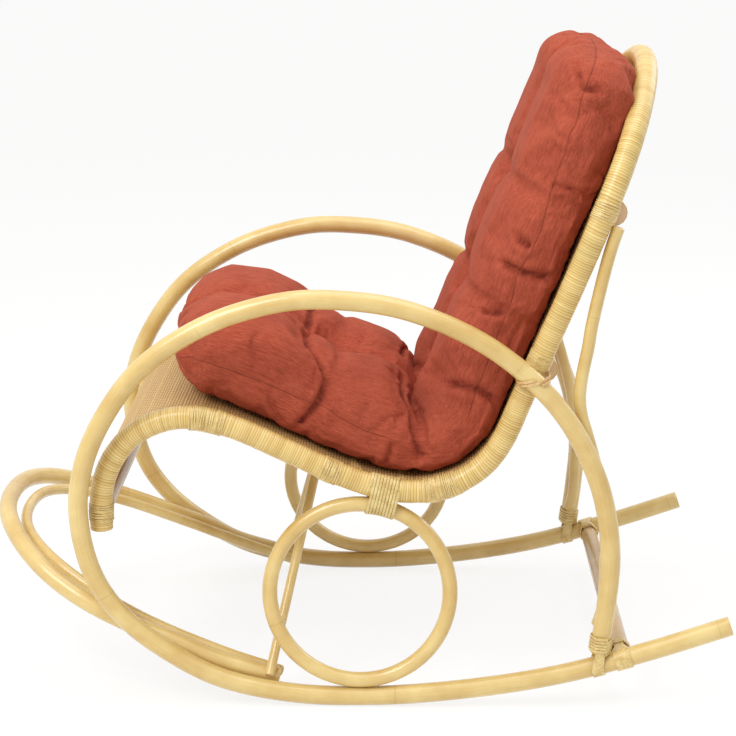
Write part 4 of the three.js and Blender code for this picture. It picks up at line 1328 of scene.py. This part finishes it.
def stuffed_pad():
    """The loose pad, blown up by a cloth simulation from a slightly smaller, sewn-in start."""
    piece = joined_copy("tufted_pad", "stuffed_pad", pile)
    remesh = piece.modifiers.new("even_faces", "REMESH")
    remesh.mode = "VOXEL"
    remesh.voxel_size = PAD_VOXEL
    bpy.ops.object.modifier_apply(modifier=remesh.name)
    places, hold, seam, crease = shaped_start(piece)
    swell(piece, places, hold, seam)
    store_places(piece, places)
    store_offsets(piece, "seam_offset", [
        offset if place.z > PAD_LINE_FLOOR else FAR_FROM_LINE for offset, place in zip(seam, places)
    ])
    store_offsets(piece, "fold_offset", [min(offset, FAR_FROM_LINE) for offset in crease])
    choose(piece)
    finer = piece.modifiers.new("finer", "SUBSURF")
    finer.levels = 1
    finer.render_levels = 1
    bpy.ops.object.modifier_apply(modifier=finer.name)
    sharpen_folds(piece)
    keep_clear(piece)
    for face in piece.data.polygons:
        face.use_smooth = True
    stands_for(piece, "tufted_pad", body="pad")


bent_poles()
straight_bars()
front_struts()
rings()
bindings()
bar_stitches(wrapped_rail())
woven_panel()
stuffed_pad()


def background_rays(tree):
    """1 where the floor or the sky is seen straight or in a reflection, and 0 where it lights."""
    path = add_node(tree, "ShaderNodeLightPath")
    return add_node(tree, "ShaderNodeMath", {"operation": "MAXIMUM"}, {
        0: path.outputs["Is Camera Ray"], 1: path.outputs["Is Glossy Ray"],
    })


def pale_floor():
    """A matt white floor that fades into the backdrop and keeps the chair's shadow."""
    deselect()
    bpy.ops.mesh.primitive_plane_add(size=FLOOR_SIZE, location=(0, 0, 0))
    floor = bpy.context.object
    floor.name = "floor"
    material, tree, surface = new_material("pale_floor")
    fill_inputs(tree, surface, {"Base Color": linear("#F4F3F0"), "Roughness": 0.9})
    seen = background_rays(tree)
    share = add_node(tree, "ShaderNodeMath", {"operation": "MULTIPLY"}, {
        0: seen.outputs[0], 1: FLOOR_GLOW,
    })
    white = add_node(tree, "ShaderNodeEmission", {}, {
        "Color": linear("#FFFFFF"), "Strength": FLOOR_WHITE,
    })
    both = add_node(tree, "ShaderNodeMixShader", {}, {
        0: share.outputs[0], 1: surface.outputs[0], 2: white.outputs[0],
    })
    tree.links.new(both.outputs[0], tree.nodes["Material Output"].inputs["Surface"])
    floor.data.materials.append(material)


def studio():
    """A plain pale floor and backdrop, and soft lights."""
    pale_floor()
    world = bpy.data.worlds.new("studio")
    world.use_nodes = True
    scene.world = world
    tree = world.node_tree
    strength = add_node(tree, "ShaderNodeMapRange", {}, {
        "Value": background_rays(tree).outputs[0], "From Min": 0, "From Max": 1,
        "To Min": SKY_LIGHT, "To Max": 1,
    })
    fill_inputs(tree, tree.nodes["Background"], {
        "Strength": strength.outputs[0], "Color": (1, 1, 1, 1),
    })
    for name, place, size, power in LAMPS:
        bpy.ops.object.light_add(type="AREA", location=place)
        lamp = bpy.context.object
        lamp.name = name
        lamp.data.energy = power
        lamp.data.size = size
        lamp.rotation_euler = (LAMP_TARGET - Vector(place)).to_track_quat("-Z", "Y").to_euler()


studio()
scene.view_settings.view_transform = "Standard"
